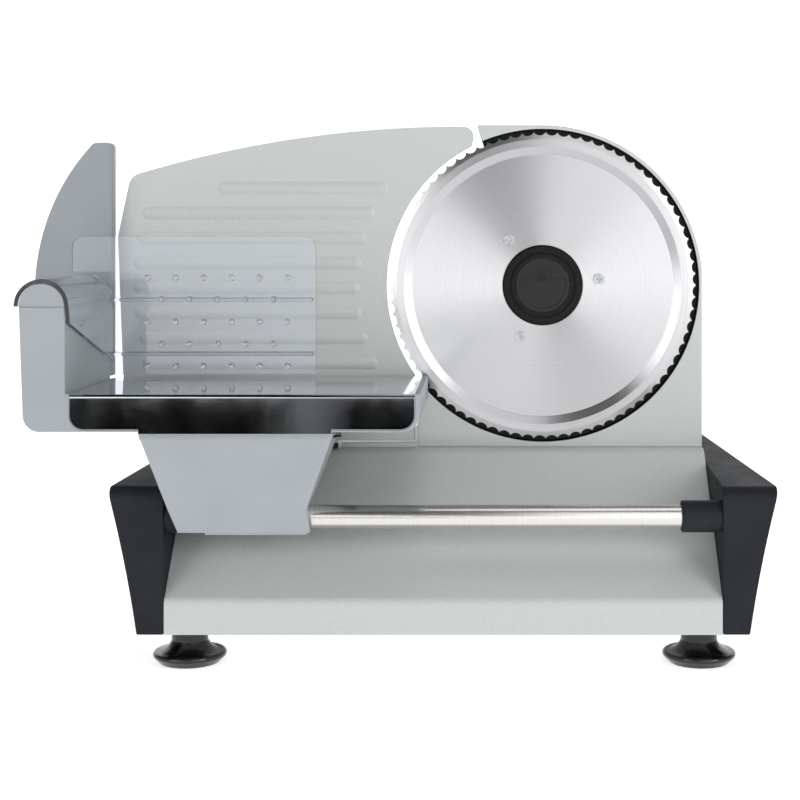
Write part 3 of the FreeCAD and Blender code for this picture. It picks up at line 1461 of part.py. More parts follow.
def hand_guard():
    """Sail-shaped guard: a bowed panel with a turned-back right edge and a mounting pad."""
    left = guard_left_x - 1.2
    right = guard_right_x
    front = guard_front_y
    back = guard_back_y
    t = guard_t
    mid_x = (left + right) / 2
    bow = (front + back) / 2 - 1.6
    panel_steps = [
        ((mid_x, bow), (right - 1.5, front)),
        ((right - 0.4, front + 0.5), (right, front + 1.6)),
        (right, back),
        (right - t, back),
        (right - t, front + t),
        ((mid_x + 0.4, bow + t), (left + 0.2, back)),
    ]
    panel = slab_z((left, back - 1.2), panel_steps, guard_low_z, guard_top_z + 1)
    sail_steps = [
        (right, guard_top_z - 3.0),
        ((right - 0.9, guard_top_z - 0.9), (right - 3.0, guard_top_z)),
        (right - 9.5, guard_top_z),
        ((right - 11.8, guard_top_z - 0.5), (right - 13.6, guard_top_z - 2.0)),
        ((guard_left_x + 14.7, guard_top_z - 31.7), (guard_left_x, guard_top_z - 83.4)),
        ((left, guard_low_z + 40.0), (guard_left_x + 3.0, guard_low_z + 18.0)),
        ((guard_left_x + 8.0, guard_low_z + 6.0), (guard_left_x + 20.0, guard_low_z)),
    ]
    sail = slab_y((right, guard_low_z), sail_steps, front - 5, back + 5)
    pad = box(wall_left_x + 4, wall_right_x - 2, wall_rear_y, back - 2.4, guard_low_z,
              guard_low_z + 40.0)
    holes = [rod_along_y(1.8, wall_rear_y - 1, 9, x, z) for x, z in guard_screw_spots()]
    return panel.common(sail).fuse(pad).cut(holes)


def guard_screws():
    head_y = guard_back_y - 0.4
    screws = []
    for x, z in guard_screw_spots():
        screws.append(pan_screw_y(x, z, head_y, wall_rear_y - 6, 1.55, 3.2, 2.0, 1.8))
    return Part.makeCompound(screws)


# --- pusher -------------------------------------------------------------------------------
def pusher():
    """Clear one-piece pusher: a half tube over the rail, a side web, and a spiked plate."""
    t = pusher_t
    r = pusher_hook_r
    front = carriage_front_y
    plate_front = pusher_plate_front_y
    flange_right = pusher_web_right
    start = (rail_x - r, rail_z)
    steps = [
        ((rail_x, rail_z + r), (rail_x + r, rail_z)),
        (flange_right, rail_z - 5.0),
        (flange_right, pusher_web_low_z),
        (flange_right - t, pusher_web_low_z),
        (flange_right - t, rail_z - 5.0),
        (rail_x + r - t, rail_z),
        ((rail_x, rail_z + r - t), (rail_x - r + t, rail_z)),
    ]
    hook = slab_y(start, steps, front, plate_front + 0.5)
    wedge = slab_x((front - 1, pusher_flange_z),
                   [(plate_front, pusher_web_low_z), (plate_front, 0.0), (front - 1, 0.0)],
                   -400, 0)
    right = pusher_plate_right_x
    top = pusher_plate_top_z
    c = pusher_corner_r
    k = c * (1 - math.sqrt(0.5))
    left = flange_right - t
    wing = pusher_wing_left_x
    plate_steps = [
        (right, pusher_plate_low_z),
        (right, top - c),
        ((right - k, top - k), (right - c, top)),
        (wing + c, top),
        ((wing + k, top - k), (wing, top - c)),
        (wing, pusher_wing_z),
        (left, pusher_wing_z),
    ]
    plate = slab_y((left, pusher_plate_low_z), plate_steps, plate_front, pusher_plate_back_y)
    ribs = []
    for height in pusher_rib_heights:
        z = platform_z + height
        ribs.append(box(left, right - 1.5, plate_front - pusher_rib_depth, plate_front + 0.5,
                        z - 1.0, z + 1.0))
    spikes = []
    for height, count, shift in spike_rows:
        z = platform_z + height
        for step in range(count):
            x = left_x - spike_outer + spike_pitch * (step + shift)
            spikes.append(Part.makeCone(spike_r, 0.3, spike_h + 0.3,
                                        V(x, pusher_plate_back_y - 0.3, z), V(0, 1, 0)))
    return join([hook.cut(wedge), plate] + ribs + spikes)


# --- build --------------------------------------------------------------------------------
def all_pieces():
    pieces = {}
    pieces["base_tray"] = base_tray()
    pieces["bottom_plate"] = bottom_plate()
    cap = right_end_cap()
    pieces["right_end_cap"] = cap
    pieces["left_end_cap"] = mirrored(cap)
    pieces["cap_screws"] = cap_screws()
    for corner, (x, y) in feet.items():
        pieces["foot_" + corner] = suction_foot(x, y)
    pieces["foot_screws"] = Part.makeCompound([foot_screw(x, y) for x, y in feet.values()])
    pieces["guide_rod"] = guide_rod()
    bushing = right_rod_bushing()
    pieces["right_rod_bushing"] = bushing
    pieces["left_rod_bushing"] = mirrored(bushing)
    pieces["cord_grommet"] = cord_grommet()
    pieces["shelf_screws"] = shelf_screws()
    pieces["blade_housing"] = blade_housing()
    pieces["rear_cover"] = rear_cover()
    pieces["plate_sill"] = plate_sill()
    pieces["gear_plate"] = gear_plate()
    pieces["gear_plate_screws"] = gear_plate_screws()
    pieces["blade_spindle"] = blade_spindle()
    pieces["idler_axle"] = idler_axle()
    pieces["motor_can"] = motor_can()
    pieces["motor_end_bell"] = motor_end_bell()
    pieces["motor_bushings"] = motor_bushings()
    pieces["motor_magnets"] = motor_magnets()
    pieces["motor_screws"] = motor_screws()
    pieces["switch_bezel"] = switch_bezel()
    pieces["thickness_frame"] = thickness_frame()
    pieces["thickness_cover"] = thickness_cover()
    pieces["blade"] = blade()
    pieces["blade_screws"] = blade_screws()
    pieces["blade_hub"] = blade_hub()
    pieces["blade_gear"] = blade_gear()
    pieces["blade_lock"] = blade_lock()
    pieces["idler_gear"] = idler_gear()
    pieces["motor_pinion"] = motor_pinion()
    pieces["motor_rotor"] = motor_rotor()
    pieces["motor_shaft"] = motor_shaft()
    pieces["power_rocker"] = power_rocker()
    pieces["thickness_plate"] = thickness_plate()
    pieces["plate_backing"] = plate_backing()
    pieces["plate_guide_pins"] = plate_guide_pins()
    pieces["cam_yoke"] = cam_yoke()
    pieces["follower_pin"] = follower_pin()
    pieces["cam_drum"] = cam_drum()
    pieces["knob_shaft"] = knob_shaft()
    pieces["thickness_knob"] = thickness_knob()
    pieces["carriage_frame"] = carriage_frame()
    pieces["platform_sheet"] = platform_sheet()
    pieces["carriage_bracket"] = carriage_bracket()
    pieces["bracket_screws"] = bracket_screws()
    pieces["slide_bushings"] = slide_bushings()
    pieces["rear_shoe"] = rear_shoe()
    pieces["hand_guard"] = hand_guard()
    pieces["guard_screws"] = guard_screws()
    pieces["pusher"] = pusher()
    return pieces


def build():
    os.makedirs("parts", exist_ok=True)
    pieces = all_pieces()
    origin = middle_of_box(pieces.values())
    for name, shape in pieces.items():
        write(name, shape, origin)
    print("origin", origin)
    return origin


origin_point = build()
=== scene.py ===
import json
import math

import bmesh
import bpy
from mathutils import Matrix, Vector

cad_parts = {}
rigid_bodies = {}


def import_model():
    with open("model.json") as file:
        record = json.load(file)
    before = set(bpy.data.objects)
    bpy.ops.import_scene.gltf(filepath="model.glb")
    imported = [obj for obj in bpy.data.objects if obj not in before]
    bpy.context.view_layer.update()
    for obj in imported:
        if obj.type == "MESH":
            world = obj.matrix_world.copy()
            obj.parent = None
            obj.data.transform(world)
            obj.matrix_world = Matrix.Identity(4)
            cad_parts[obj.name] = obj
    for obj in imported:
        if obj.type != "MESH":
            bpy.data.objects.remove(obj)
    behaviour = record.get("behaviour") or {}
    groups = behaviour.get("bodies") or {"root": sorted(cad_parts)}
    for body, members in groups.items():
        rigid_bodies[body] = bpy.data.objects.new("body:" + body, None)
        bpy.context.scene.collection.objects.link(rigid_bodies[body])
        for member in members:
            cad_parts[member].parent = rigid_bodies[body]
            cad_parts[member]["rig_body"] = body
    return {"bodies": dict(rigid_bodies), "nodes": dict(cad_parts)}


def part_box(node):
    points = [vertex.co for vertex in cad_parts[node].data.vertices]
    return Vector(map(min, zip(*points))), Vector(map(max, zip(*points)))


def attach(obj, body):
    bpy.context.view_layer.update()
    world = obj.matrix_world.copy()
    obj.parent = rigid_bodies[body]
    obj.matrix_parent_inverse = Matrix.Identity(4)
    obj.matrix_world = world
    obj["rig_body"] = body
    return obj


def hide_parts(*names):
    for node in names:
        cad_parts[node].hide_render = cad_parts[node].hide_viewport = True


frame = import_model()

nodes = frame["nodes"]
frameObjects = set(nodes.values()) | set(frame["bodies"].values())
for stray in [each for each in bpy.data.objects if each not in frameObjects]:
    bpy.data.objects.remove(stray)
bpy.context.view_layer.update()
print("frame loaded:", len(nodes), "nodes")

bladeLow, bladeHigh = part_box("blade")
bladeMiddle = (bladeLow + bladeHigh) / 2
bladeRadius = (bladeHigh.x - bladeLow.x) / 2
mm = 0.001


# colours, nodes and meshes

def linear(hexColour):
    parts = [int(hexColour[at:at + 2], 16) / 255 for at in (1, 3, 5)]
    bent = [part / 12.92 if part <= 0.04045 else ((part + 0.055) / 1.055) ** 2.4 for part in parts]
    return bent + [1.0]


def perMm(size):
    return 1 / (size * mm)  # texture scale for a feature of this many millimetres


def addNode(tree, kind, settings=None, links=None):
    node = tree.nodes.new(kind)
    for key, value in (settings or {}).items():
        if isinstance(key, int) or key in node.inputs:
            node.inputs[key].default_value = value
        else:
            setattr(node, key, value)
    for key, socket in (links or {}).items():
        tree.links.new(socket, node.inputs[key])
    return node


def newSurface(name, settings):
    material = bpy.data.materials.new(name)
    material.use_nodes = True
    tree = material.node_tree
    tree.nodes.clear()
    shader = addNode(tree, "ShaderNodeBsdfPrincipled", settings)
    addNode(tree, "ShaderNodeOutputMaterial", {}, {"Surface": shader.outputs["BSDF"]})
    place = addNode(tree, "ShaderNodeTexCoord").outputs["Object"]
    return material, tree, shader, place


def tint(tree, shader, colours, amount):
    # the base colour, between these two by this amount; a mix node's sockets 6 and 7 are its two colours
    mix = addNode(tree, "ShaderNodeMix", {"data_type": "RGBA", 6: linear(colours[0]), 7: linear(colours[1])},
                  {0: amount})
    tree.links.new(mix.outputs[2], shader.inputs["Base Color"])


def mottle(tree, shader, place, colours, size):
    # two close colours in soft patches of this size in millimetres
    noise = {"detail": 3.0, "from": 0.35, "to": 0.65}  # the middle of the noise covers both colours
    patches = addNode(tree, "ShaderNodeTexNoise", {"Scale": perMm(size), "Detail": noise["detail"]},
                      {"Vector": place})
    spread = addNode(tree, "ShaderNodeMapRange", {"From Min": noise["from"], "From Max": noise["to"]},
                     {"Value": patches.outputs["Fac"]})
    tint(tree, shader, colours, spread.outputs["Result"])


def varyRoughness(tree, shader, place, low, high, size):
    # roughness between low and high, in smears of this size in millimetres
    noise = {"detail": 4.0, "from": 0.3, "to": 0.7}
    smears = addNode(tree, "ShaderNodeTexNoise", {"Scale": perMm(size), "Detail": noise["detail"]},
                     {"Vector": place})
    level = addNode(tree, "ShaderNodeMapRange", {"From Min": noise["from"], "From Max": noise["to"],
                                                 "To Min": low, "To Max": high},
                    {"Value": smears.outputs["Fac"]})
    tree.links.new(level.outputs["Result"], shader.inputs["Roughness"])


def grain(tree, shader, place, size, depth, detail=2.0):
    # raised grain of this size and depth in millimetres
    bumps = addNode(tree, "ShaderNodeTexNoise", {"Scale": perMm(size), "Detail": detail}, {"Vector": place})
    relief = addNode(tree, "ShaderNodeBump", {"Strength": 1.0, "Distance": depth * mm},
                     {"Height": bumps.outputs["Fac"]})
    tree.links.new(relief.outputs["Normal"], shader.inputs["Normal"])


def dress(tree, shader, place, look):
    # a plain skin: patches of colour, uneven polish, and grain where it has one; sizes in millimetres
    mottle(tree, shader, place, look["colours"], look["patch"])
    varyRoughness(tree, shader, place, look["smooth"], look["rough"], look["smear"])
    if "grain" in look:
        grain(tree, shader, place, look["grain"], look["depth"])


# materials, each named for what the real one is; the ones that also carry painted shade are marked where they
# are used

def satinEnamel():
    # silver-grey baked enamel on pressed steel: a soft sheen, a faint fleck, the slight ripple of sprayed paint
    enamel = {"colours": ("#c6cbc9", "#cdd1cf"), "patch": 1.1, "smooth": 0.34, "rough": 0.42, "smear": 14.0,
              "grain": 3.2, "depth": 0.006}
    material, tree, shader, place = newSurface("satinEnamelSilver", {"Metallic": 0.0, "IOR": 1.5})
    dress(tree, shader, place, enamel)
    return material


def mouldedGrey(name, colours):
    # satin moulded ABS, cool mid grey: a fine even spark grain, drawn a little coarse so that it shows
    plastic = {"colours": colours, "patch": 30.0, "smooth": 0.4, "rough": 0.48, "smear": 20.0,
               "grain": 0.9, "depth": 0.008}
    material, tree, shader, place = newSurface(name, {"Metallic": 0.0, "IOR": 1.53})
    dress(tree, shader, place, plastic)
    return material


def mouldedCharcoal():
    # textured charcoal ABS with a blue cast: matt in the flat, a broad soft highlight on the folds
    plastic = {"colours": ("#23252a", "#272a2f"), "patch": 24.0, "smooth": 0.52, "rough": 0.62, "smear": 18.0,
               "grain": 0.8, "depth": 0.02}
    material, tree, shader, place = newSurface("mouldedAbsCharcoal", {
        "Metallic": 0.0, "IOR": 1.53, "Specular IOR Level": 0.12})
    dress(tree, shader, place, plastic)
    return material


def mouldedBlack(name, shine):
    # black ABS of the hub, lock and switch, also laid on the blade recess as painted shade: deeper than the end
    # caps, with a little gloss
    plastic = {"colours": ("#0a0a0c", "#101012"), "patch": 6.0, "smooth": 0.26, "rough": 0.36, "smear": 8.0,
               "grain": 0.7, "depth": 0.006}
    material, tree, shader, place = newSurface(name, {
        "Metallic": 0.0, "IOR": 1.53, "Specular IOR Level": shine})
    dress(tree, shader, place, plastic)
    return material


def glossRubber():
    # nitrile rubber foot: near black, smooth from a polished mould, with a soft wet highlight
    rubber = {"colours": ("#0b0b0c", "#121213"), "patch": 9.0, "smooth": 0.16, "rough": 0.3, "smear": 7.0,
              "grain": 1.6, "depth": 0.006}
    material, tree, shader, place = newSurface("nitrileRubberBlack", {"Metallic": 0.0, "IOR": 1.52})
    dress(tree, shader, place, rubber)
    return material


def clearStyrene():
    # clear moulded styrene with a blue-violet cast: almost colourless through its wall, navy along its edges
    clear = {"colour": "#f6f8fd", "absorbColour": "#3b5ba8", "absorbPerMetre": 20.0,
             "wave": 9.0, "waveDepth": 0.02}
    material, tree, shader, place = newSurface("clearStyrene", {
        "Base Color": linear(clear["colour"]), "Metallic": 0.0, "IOR": 1.57, "Transmission Weight": 1.0,
        "Roughness": 0.03})
    grain(tree, shader, place, clear["wave"], clear["waveDepth"])  # the gentle waviness of a moulded sheet
    body = addNode(tree, "ShaderNodeVolumeAbsorption",
                   {"Color": linear(clear["absorbColour"]), "Density": clear["absorbPerMetre"]})
    out = [each for each in tree.nodes if each.type == "OUTPUT_MATERIAL"][0]
    tree.links.new(body.outputs["Volume"], out.inputs["Volume"])
    return material


def turnedStainless():
    # blade steel, ground in circles: highlights run out from the middle as wedges, with fine rings in them
    steel = {"colours": ("#b6b7b9", "#c9c9cb"), "ring": 0.9, "ringDepth": 0.0022, "ringDetail": 3.0,
             "anisotropy": 0.86, "quarterTurn": 0.25, "roughness": 0.3}
    material, tree, shader, place = newSurface("turnedStainless", {
        "Metallic": 1.0, "Anisotropic": steel["anisotropy"], "Anisotropic Rotation": steel["quarterTurn"],
        "Roughness": steel["roughness"]})
    around = addNode(tree, "ShaderNodeTangent", {"direction_type": "RADIAL", "axis": "Y"})
    tree.links.new(around.outputs["Tangent"], shader.inputs["Tangent"])
    fromAxis = addNode(tree, "ShaderNodeVectorMath",
                       {"operation": "SUBTRACT", 1: (bladeMiddle.x, 0.0, bladeMiddle.z)}, {0: place})
    flat = addNode(tree, "ShaderNodeVectorMath", {"operation": "MULTIPLY", 1: (1.0, 0.0, 1.0)},
                   {0: fromAxis.outputs["Vector"]})
    radius = addNode(tree, "ShaderNodeVectorMath", {"operation": "LENGTH"}, {0: flat.outputs["Vector"]})
    rings = addNode(tree, "ShaderNodeTexNoise", {
        "noise_dimensions": "1D", "Scale": perMm(steel["ring"]), "Detail": steel["ringDetail"]},
        {"W": radius.outputs["Value"]})
    tint(tree, shader, steel["colours"], rings.outputs["Fac"])
    relief = addNode(tree, "ShaderNodeBump", {"Strength": 1.0, "Distance": steel["ringDepth"] * mm},
                     {"Height": rings.outputs["Fac"]})
    tree.links.new(relief.outputs["Normal"], shader.inputs["Normal"])
    return material


def mirrorStainless():
    # polished stainless sheet of the platform: a clear mirror with the faintest waviness
    mirror = {"colour": "#c9ccd0", "smooth": 0.05, "rough": 0.09, "smear": 16.0,
              "wave": 60.0, "waveDepth": 0.006, "waveDetail": 0.0}
    material, tree, shader, place = newSurface("polishedStainless", {
        "Base Color": linear(mirror["colour"]), "Metallic": 1.0})
    varyRoughness(tree, shader, place, mirror["smooth"], mirror["rough"], mirror["smear"])
    grain(tree, shader, place, mirror["wave"], mirror["waveDepth"], mirror["waveDetail"])
    return material


def drawnStainless():
    # ground rod: bright, brushed round its length so that the lines across it blur the reflections
    rod = {"colours": ("#cfccc8", "#ebe8e5"), "line": 1.1, "lineDetail": 4.0,
           "roughness": 0.24, "anisotropy": 0.4}
    material, tree, shader, place = newSurface("centrelessGroundStainless", {
        "Metallic": 1.0, "Roughness": rod["roughness"], "Anisotropic": rod["anisotropy"]})
    along = addNode(tree, "ShaderNodeSeparateXYZ", {}, {"Vector": place})
    lines = addNode(tree, "ShaderNodeTexNoise", {
        "noise_dimensions": "1D", "Scale": perMm(rod["line"]), "Detail": rod["lineDetail"]},
        {"W": along.outputs["X"]})
    tint(tree, shader, rod["colours"], lines.outputs["Fac"])
    around = addNode(tree, "ShaderNodeTangent", {"direction_type": "RADIAL", "axis": "X"})
    tree.links.new(around.outputs["Tangent"], shader.inputs["Tangent"])
    return material


def zincSteel():
    # zinc-plated steel: cool grey with the soft patchiness of plating
    zinc = {"colours": ("#a9abad", "#c3c5c6"), "patch": 2.5, "smooth": 0.24, "rough": 0.4, "smear": 3.0}
    material, tree, shader, place = newSurface("zincPlatedSteel", {"Metallic": 1.0})
    dress(tree, shader, place, zinc)
    return material


def castAluminium():
    # as-cast aluminium: dull silver with a sandy skin
    casting = {"colours": ("#9fa1a3", "#b4b6b7"), "patch": 3.0, "smooth": 0.45, "rough": 0.6, "smear": 4.0,
               "grain": 1.0, "depth": 0.03}
    material, tree, shader, place = newSurface("castAluminium", {"Metallic": 1.0})
    dress(tree, shader, place, casting)
    return material


def acetal():
    # off-white machined acetal: waxy, slightly see-through at thin teeth
    waxy = {"colours": ("#dcdbd2", "#e4e3dc"), "patch": 6.0, "smooth": 0.35, "rough": 0.45, "smear": 5.0}
    material, tree, shader, place = newSurface("acetalNatural", {
        "Metallic": 0.0, "IOR": 1.48, "Subsurface Weight": 0.1})
    dress(tree, shader, place, waxy)
    return material


def sinteredBronze():
    # oil-soaked bronze bush: brown-gold and porous
    bush = {"colours": ("#8c6a3a", "#a98450"), "patch": 1.5, "smooth": 0.4, "rough": 0.55, "smear": 2.0,
            "grain": 0.6, "depth": 0.02}
    material, tree, shader, place = newSurface("sinteredBronze", {"Metallic": 1.0})
    dress(tree, shader, place, bush)
    return material


def ferrite():
    # pressed ferrite magnet: dark grey ceramic, matt
    magnet = {"colours": ("#2a2a2b", "#343435"), "patch": 2.0, "smooth": 0.6, "rough": 0.75, "smear": 3.0}
    material, tree, shader, place = newSurface("ferriteCeramic", {"Metallic": 0.0, "IOR": 1.6})
    dress(tree, shader, place, magnet)
    return material


finishes = {
    "painted_steel": satinEnamel(),
    "abs_grey": mouldedGrey("mouldedAbsGrey", ("#a0a6aa", "#a4aaae")),
    "abs_black": mouldedCharcoal(),
    "rubber": glossRubber(),
    "clear_plastic": clearStyrene(),
    "brushed_stainless": turnedStainless(),
    "polished_stainless": mirrorStainless(),
    "steel": zincSteel(),
    "cast_aluminium": castAluminium(),
    "acetal": acetal(),
    "bronze": sinteredBronze(),
    "ferrite": ferrite(),
}
blackShine = {"hub": 0.16, "lock": 0.34}  # specular level: the lock is handled, so it is a little glossier
# the hub's black ABS, which also serves as painted shade on the blade recess faces
blackAbsAndPocketShade = mouldedBlack("mouldedAbsBlackAndPocketShade", blackShine["hub"])
handledAbs = mouldedBlack("mouldedAbsLock", blackShine["lock"])
ownFinishes = {
    "guide_rod": drawnStainless(),
    # painted shade: the hand guard gets a darker copy of the same grey ABS, so that it reads as standing in
    # shade
    "hand_guard": mouldedGrey("mouldedAbsGuardPaintedShade", ("#8f959a", "#93999e")),
    "blade_hub": blackAbsAndPocketShade,
    "blade_lock": handledAbs,
    "power_rocker": handledAbs,
}
slotOf = {name: each.data.materials[0].name.split(".")[0] for name, each in nodes.items()}
for name, each in nodes.items():
    each.material_slots[0].material = ownFinishes.get(name, finishes[slotOf[name]])
print("materials made:", len(finishes) + len(set(ownFinishes.values())))


# pieces with rounded edges

def camelName(node):
    first, *rest = node.split("_")
    return first + "".join(word.capitalize() for word in rest)


def roundedPiece(node, radius):
    # the node's own shape with each sharp edge rounded off by this radius in millimetres
    edges = {"weld": 0.001, "flatTo": 0.4, "sharpFrom": 35.0, "creaseFrom": 50.0, "steps": 2}  # mm, degrees
    shape = bmesh.new()
    shape.from_mesh(nodes[node].data)
    bmesh.ops.remove_doubles(shape, verts=shape.verts, dist=edges["weld"] * mm)
    bmesh.ops.dissolve_limit(shape, angle_limit=math.radians(edges["flatTo"]), verts=shape.verts,
                             edges=shape.edges)
    limit = math.radians(edges["sharpFrom"])
    sharp = [edge for edge in shape.edges if edge.is_manifold and edge.calc_face_angle(0.0) > limit]
    bmesh.ops.bevel(shape, geom=sharp, offset=radius * mm, offset_type="OFFSET", segments=edges["steps"],
                    profile=0.5, affect="EDGES", clamp_overlap=False, loop_slide=False)
    mesh = bpy.data.meshes.new(camelName(node))
    shape.to_mesh(mesh)
    shape.free()
    if "custom_normal" in mesh.attributes:
        mesh.attributes.remove(mesh.attributes["custom_normal"])
    mesh.shade_smooth()
    mesh.set_sharp_from_angle(angle=math.radians(edges["creaseFrom"]))
    mesh.materials.clear()
    mesh.materials.append(nodes[node].material_slots[0].material)
    piece = bpy.data.objects.new(camelName(node), mesh)
    bpy.context.scene.collection.objects.link(piece)
    normals = piece.modifiers.new("facesFirst", "WEIGHTED_NORMAL")
    normals.keep_sharp = True
    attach(piece, nodes[node]["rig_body"])
    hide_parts(node)
    return piece


edgeRounds = {  # radius in mm
    "base_tray": 0.3,
    "right_end_cap": 0.8,
    "left_end_cap": 0.8,
    "right_rod_bushing": 0.3,
    "left_rod_bushing": 0.3,
    "guide_rod": 0.4,
    "blade_housing": 0.5,
    "rear_cover": 0.5,
    "plate_sill": 0.25,
    "switch_bezel": 0.3,
    "power_rocker": 0.3,
    "thickness_cover": 0.3,
    "thickness_knob": 0.3,
    "blade_hub": 0.15,
    "blade_lock": 0.15,
    "blade_screws": 0.12,
    "carriage_frame": 0.4,
    "platform_sheet": 0.25,
    "carriage_bracket": 0.35,
    "hand_guard": 0.3,
    "pusher": 0.3,
}
rounded = {node: roundedPiece(node, radius) for node, radius in edgeRounds.items()}
rounded["pusher"].visible_shadow = False  # clear plastic hardly dims what stands behind it
rounded["pusher"].visible_diffuse = False
print("edges rounded:", len(rounded))


def paintPocketShade(housing):
    # painted shade: the recess faces behind the blade are given the black ABS, so that the shade there reads as
    # a dark ring round the teeth
    pocket = {"reach": 3.9, "behind": 0.6}  # mm beyond the teeth and behind the blade's face
    housing.data.materials.append(blackAbsAndPocketShade)
    # painted shade: every face inside the recess takes the black material
    for face in housing.data.polygons:
        out = math.hypot(face.center.x - bladeMiddle.x, face.center.z - bladeMiddle.z)
        if out < bladeRadius + pocket["reach"] * mm and face.center.y > bladeLow.y + pocket["behind"] * mm:
            face.material_index = 1


paintPocketShade(rounded["blade_housing"])


# camera, sweep and lights, with places in metres

white = "#ffffff"
cardBlack = "#020202"
lift = 0.002  # how far the upright cards stand off the floor


def makeCamera():
    lens = {"long": 72.72, "sensor": 36.0, "shiftX": -0.1125, "shiftY": -0.206}
    # mm from the blade's axis, its face and the worktop
    stand = {"left": 32.7, "back": 1000.0, "height": 246.0}
    data = bpy.data.cameras.new("frontCamera")
    data.lens = lens["long"]
    data.sensor_width = lens["sensor"]
    data.shift_x = lens["shiftX"]
    data.shift_y = lens["shiftY"]
    camera = bpy.data.objects.new("frontCamera", data)
    camera.location = (bladeMiddle.x - stand["left"] * mm, bladeLow.y - stand["back"] * mm,
                       stand["height"] * mm)
    camera.rotation_euler = (math.radians(90.0), 0.0, 0.0)
    bpy.context.scene.collection.objects.link(camera)
    bpy.context.scene.camera = camera


def makeSweep():
    # a white paper sweep: floor, one round bend and a wall behind
    paper = {"half": 4.0, "front": -4.0, "bendStart": 1.8, "bend": 1.2, "top": 4.0, "steps": 24,
             "colours": ("#f6f6f6", "#f9f9f9"), "patch": 60.0, "glow": 0.7}  # metres, but the patch in mm
    profile = [(paper["front"], 0.0)]
    for step in range(paper["steps"] + 1):
        turn = math.pi / 2 * step / paper["steps"]
        profile.append((paper["bendStart"] + paper["bend"] * math.sin(turn),
                        paper["bend"] * (1 - math.cos(turn))))
    profile.append((paper["bendStart"] + paper["bend"], paper["top"]))
    shape = bmesh.new()
    rows = [[shape.verts.new((side * paper["half"], y, z)) for side in (-1, 1)] for y, z in profile]
    for low, high in zip(rows, rows[1:]):
        shape.faces.new((low[0], low[1], high[1], high[0]))
    mesh = bpy.data.meshes.new("paperSweep")
    shape.to_mesh(mesh)
    shape.free()
    mesh.shade_smooth()
    material, tree, shader, place = newSurface("whitePaper", {
        "Roughness": 0.9, "Specular IOR Level": 0.1, "Emission Color": linear(white),
        "Emission Strength": paper["glow"]})
    mottle(tree, shader, place, paper["colours"], paper["patch"])
    mesh.materials.append(material)
    sweep = bpy.data.objects.new("paperSweep", mesh)
    bpy.context.scene.collection.objects.link(sweep)


def makeLight(name, place, aim, size, power):
    data = bpy.data.lights.new(name, "AREA")
    data.shape = "RECTANGLE"
    data.size, data.size_y = size
    data.energy = power
    light = bpy.data.objects.new(name, data)
    light.location = place
    light.rotation_euler = (Vector(aim) - Vector(place)).to_track_quat("-Z", "Y").to_euler()
    bpy.context.scene.collection.objects.link(light)


def uprightCorners(left, right, front, top):
    return [(left, front, lift), (right, front, lift), (right, front, top), (left, front, top)]


def makeCard(name, corners, colour, glow=0.0):
    # a studio card that only shows in gloss and clear plastic
    shape = bmesh.new()
    shape.faces.new([shape.verts.new(corner) for corner in corners])
    mesh = bpy.data.meshes.new(name)
    shape.to_mesh(mesh)
    shape.free()
    settings = {"Base Color": linear(colour), "Roughness": 1.0, "Specular IOR Level": 0.0,
                "Emission Color": linear(white), "Emission Strength": glow}
    mesh.materials.append(newSurface(name, settings)[0])
    card = bpy.data.objects.new(name, mesh)
    card.visible_camera = False
    card.visible_diffuse = False
    card.visible_shadow = False
    bpy.context.scene.collection.objects.link(card)


def makeWorld():
    room = {"colour": white, "strength": 0.26}
    world = bpy.data.worlds.new("paleRoom")
    world.use_nodes = True
    background = world.node_tree.nodes["Background"]
    background.inputs["Color"].default_value = linear(room["colour"])
    background.inputs["Strength"].default_value = room["strength"]
    bpy.context.scene.world = world


makeCamera()
makeSweep()
makeWorld()

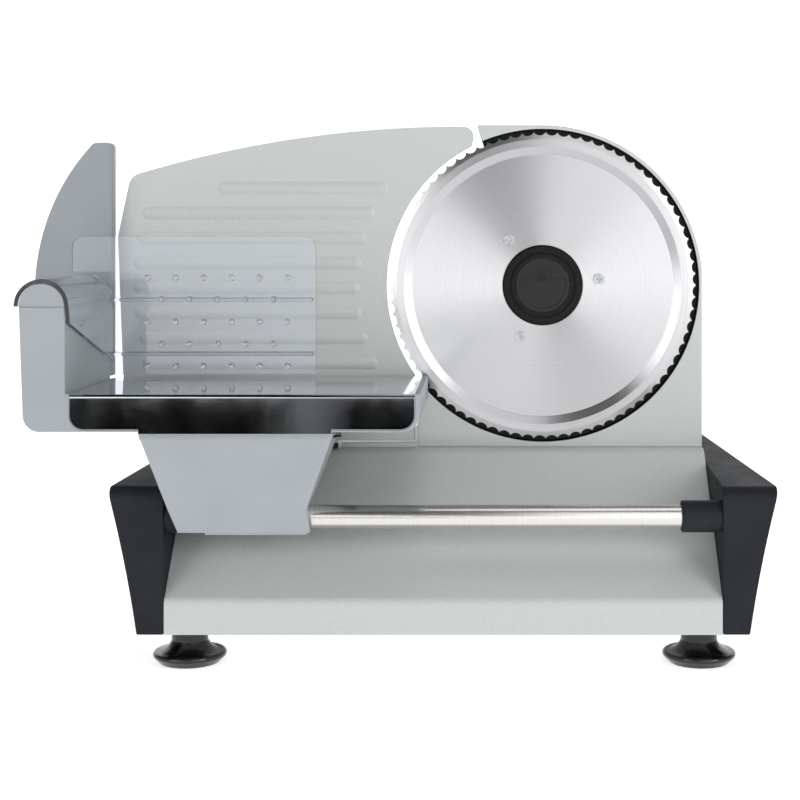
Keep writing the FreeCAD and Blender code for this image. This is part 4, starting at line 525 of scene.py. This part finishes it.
aim = (0.0, 0.0, 0.16)  # about the middle of the slicer
softboxes = {
    "leftSoftbox": {"place": (-1.3, -1.6, 0.6), "size": (0.9, 1.1), "watts": 7.0},
    "rightSoftbox": {"place": (1.5, -1.5, 0.65), "size": (0.9, 1.1), "watts": 12.0},
    "topSoftbox": {"place": (0.3, -0.3, 1.6), "size": (1.0, 0.6), "watts": 2.5},
}
for name, box in softboxes.items():
    makeLight(name, box["place"], aim, box["size"], box["watts"])

# the front wall's white and the dark ceiling that the polished and clear pieces mirror
frontCard = {"left": -2.2, "right": 2.4, "front": -1.7, "top": 2.4, "glow": 0.56}
makeCard("frontWhiteCard", uprightCorners(frontCard["left"], frontCard["right"], frontCard["front"],
                                          frontCard["top"]), white, frontCard["glow"])
ceiling = {"half": 1.6, "front": -1.5, "back": 0.4, "height": 1.75}
makeCard("ceilingCard", [(side * ceiling["half"], depth, ceiling["height"]) for side, depth in (
    (-1, ceiling["front"]), (1, ceiling["front"]), (1, ceiling["back"]), (-1, ceiling["back"]))], cardBlack)

# the platform's front band mirrors a dark card with a soft light spot in it, made of nested cards
lowCard = {"left": -0.46, "right": 0.04, "front": -0.75, "top": 0.105, "glowMiddle": -0.108, "apart": 0.005,
           "glows": ((0.04, 0.036), (0.09, 0.024), (0.15, 0.012))}  # each glow with half its width
makeCard("lowBlackCard", uprightCorners(lowCard["left"], lowCard["right"], lowCard["front"], lowCard["top"]),
         cardBlack)
for step, (glow, half) in enumerate(lowCard["glows"]):
    near = lowCard["front"] + lowCard["apart"] * (step + 1)
    sides = lowCard["glowMiddle"] - half, lowCard["glowMiddle"] + half
    makeCard("bandGlowCard%d" % step, uprightCorners(sides[0], sides[1], near, lowCard["top"]), "#000000", glow)

# a dark triangle high in front gives the blade its upper wedge: mm from the blade's axis, and degrees
wedge = {"apex": (22.0, -60.0), "from": 90.0, "to": 131.0, "reach": 1900.0, "front": -1.1}
apexX, apexZ = bladeMiddle.x + wedge["apex"][0] * mm, bladeMiddle.z + wedge["apex"][1] * mm
tips = [(apexX + wedge["reach"] * mm * math.cos(math.radians(angle)), wedge["front"],
         apexZ + wedge["reach"] * mm * math.sin(math.radians(angle)))
        for angle in (wedge["from"], wedge["to"])]
makeCard("highBlackCard", [(apexX, wedge["front"], apexZ)] + tips, cardBlack)

bpy.context.scene.view_settings.view_transform = "Standard"
print("camera, sweep and lights placed")
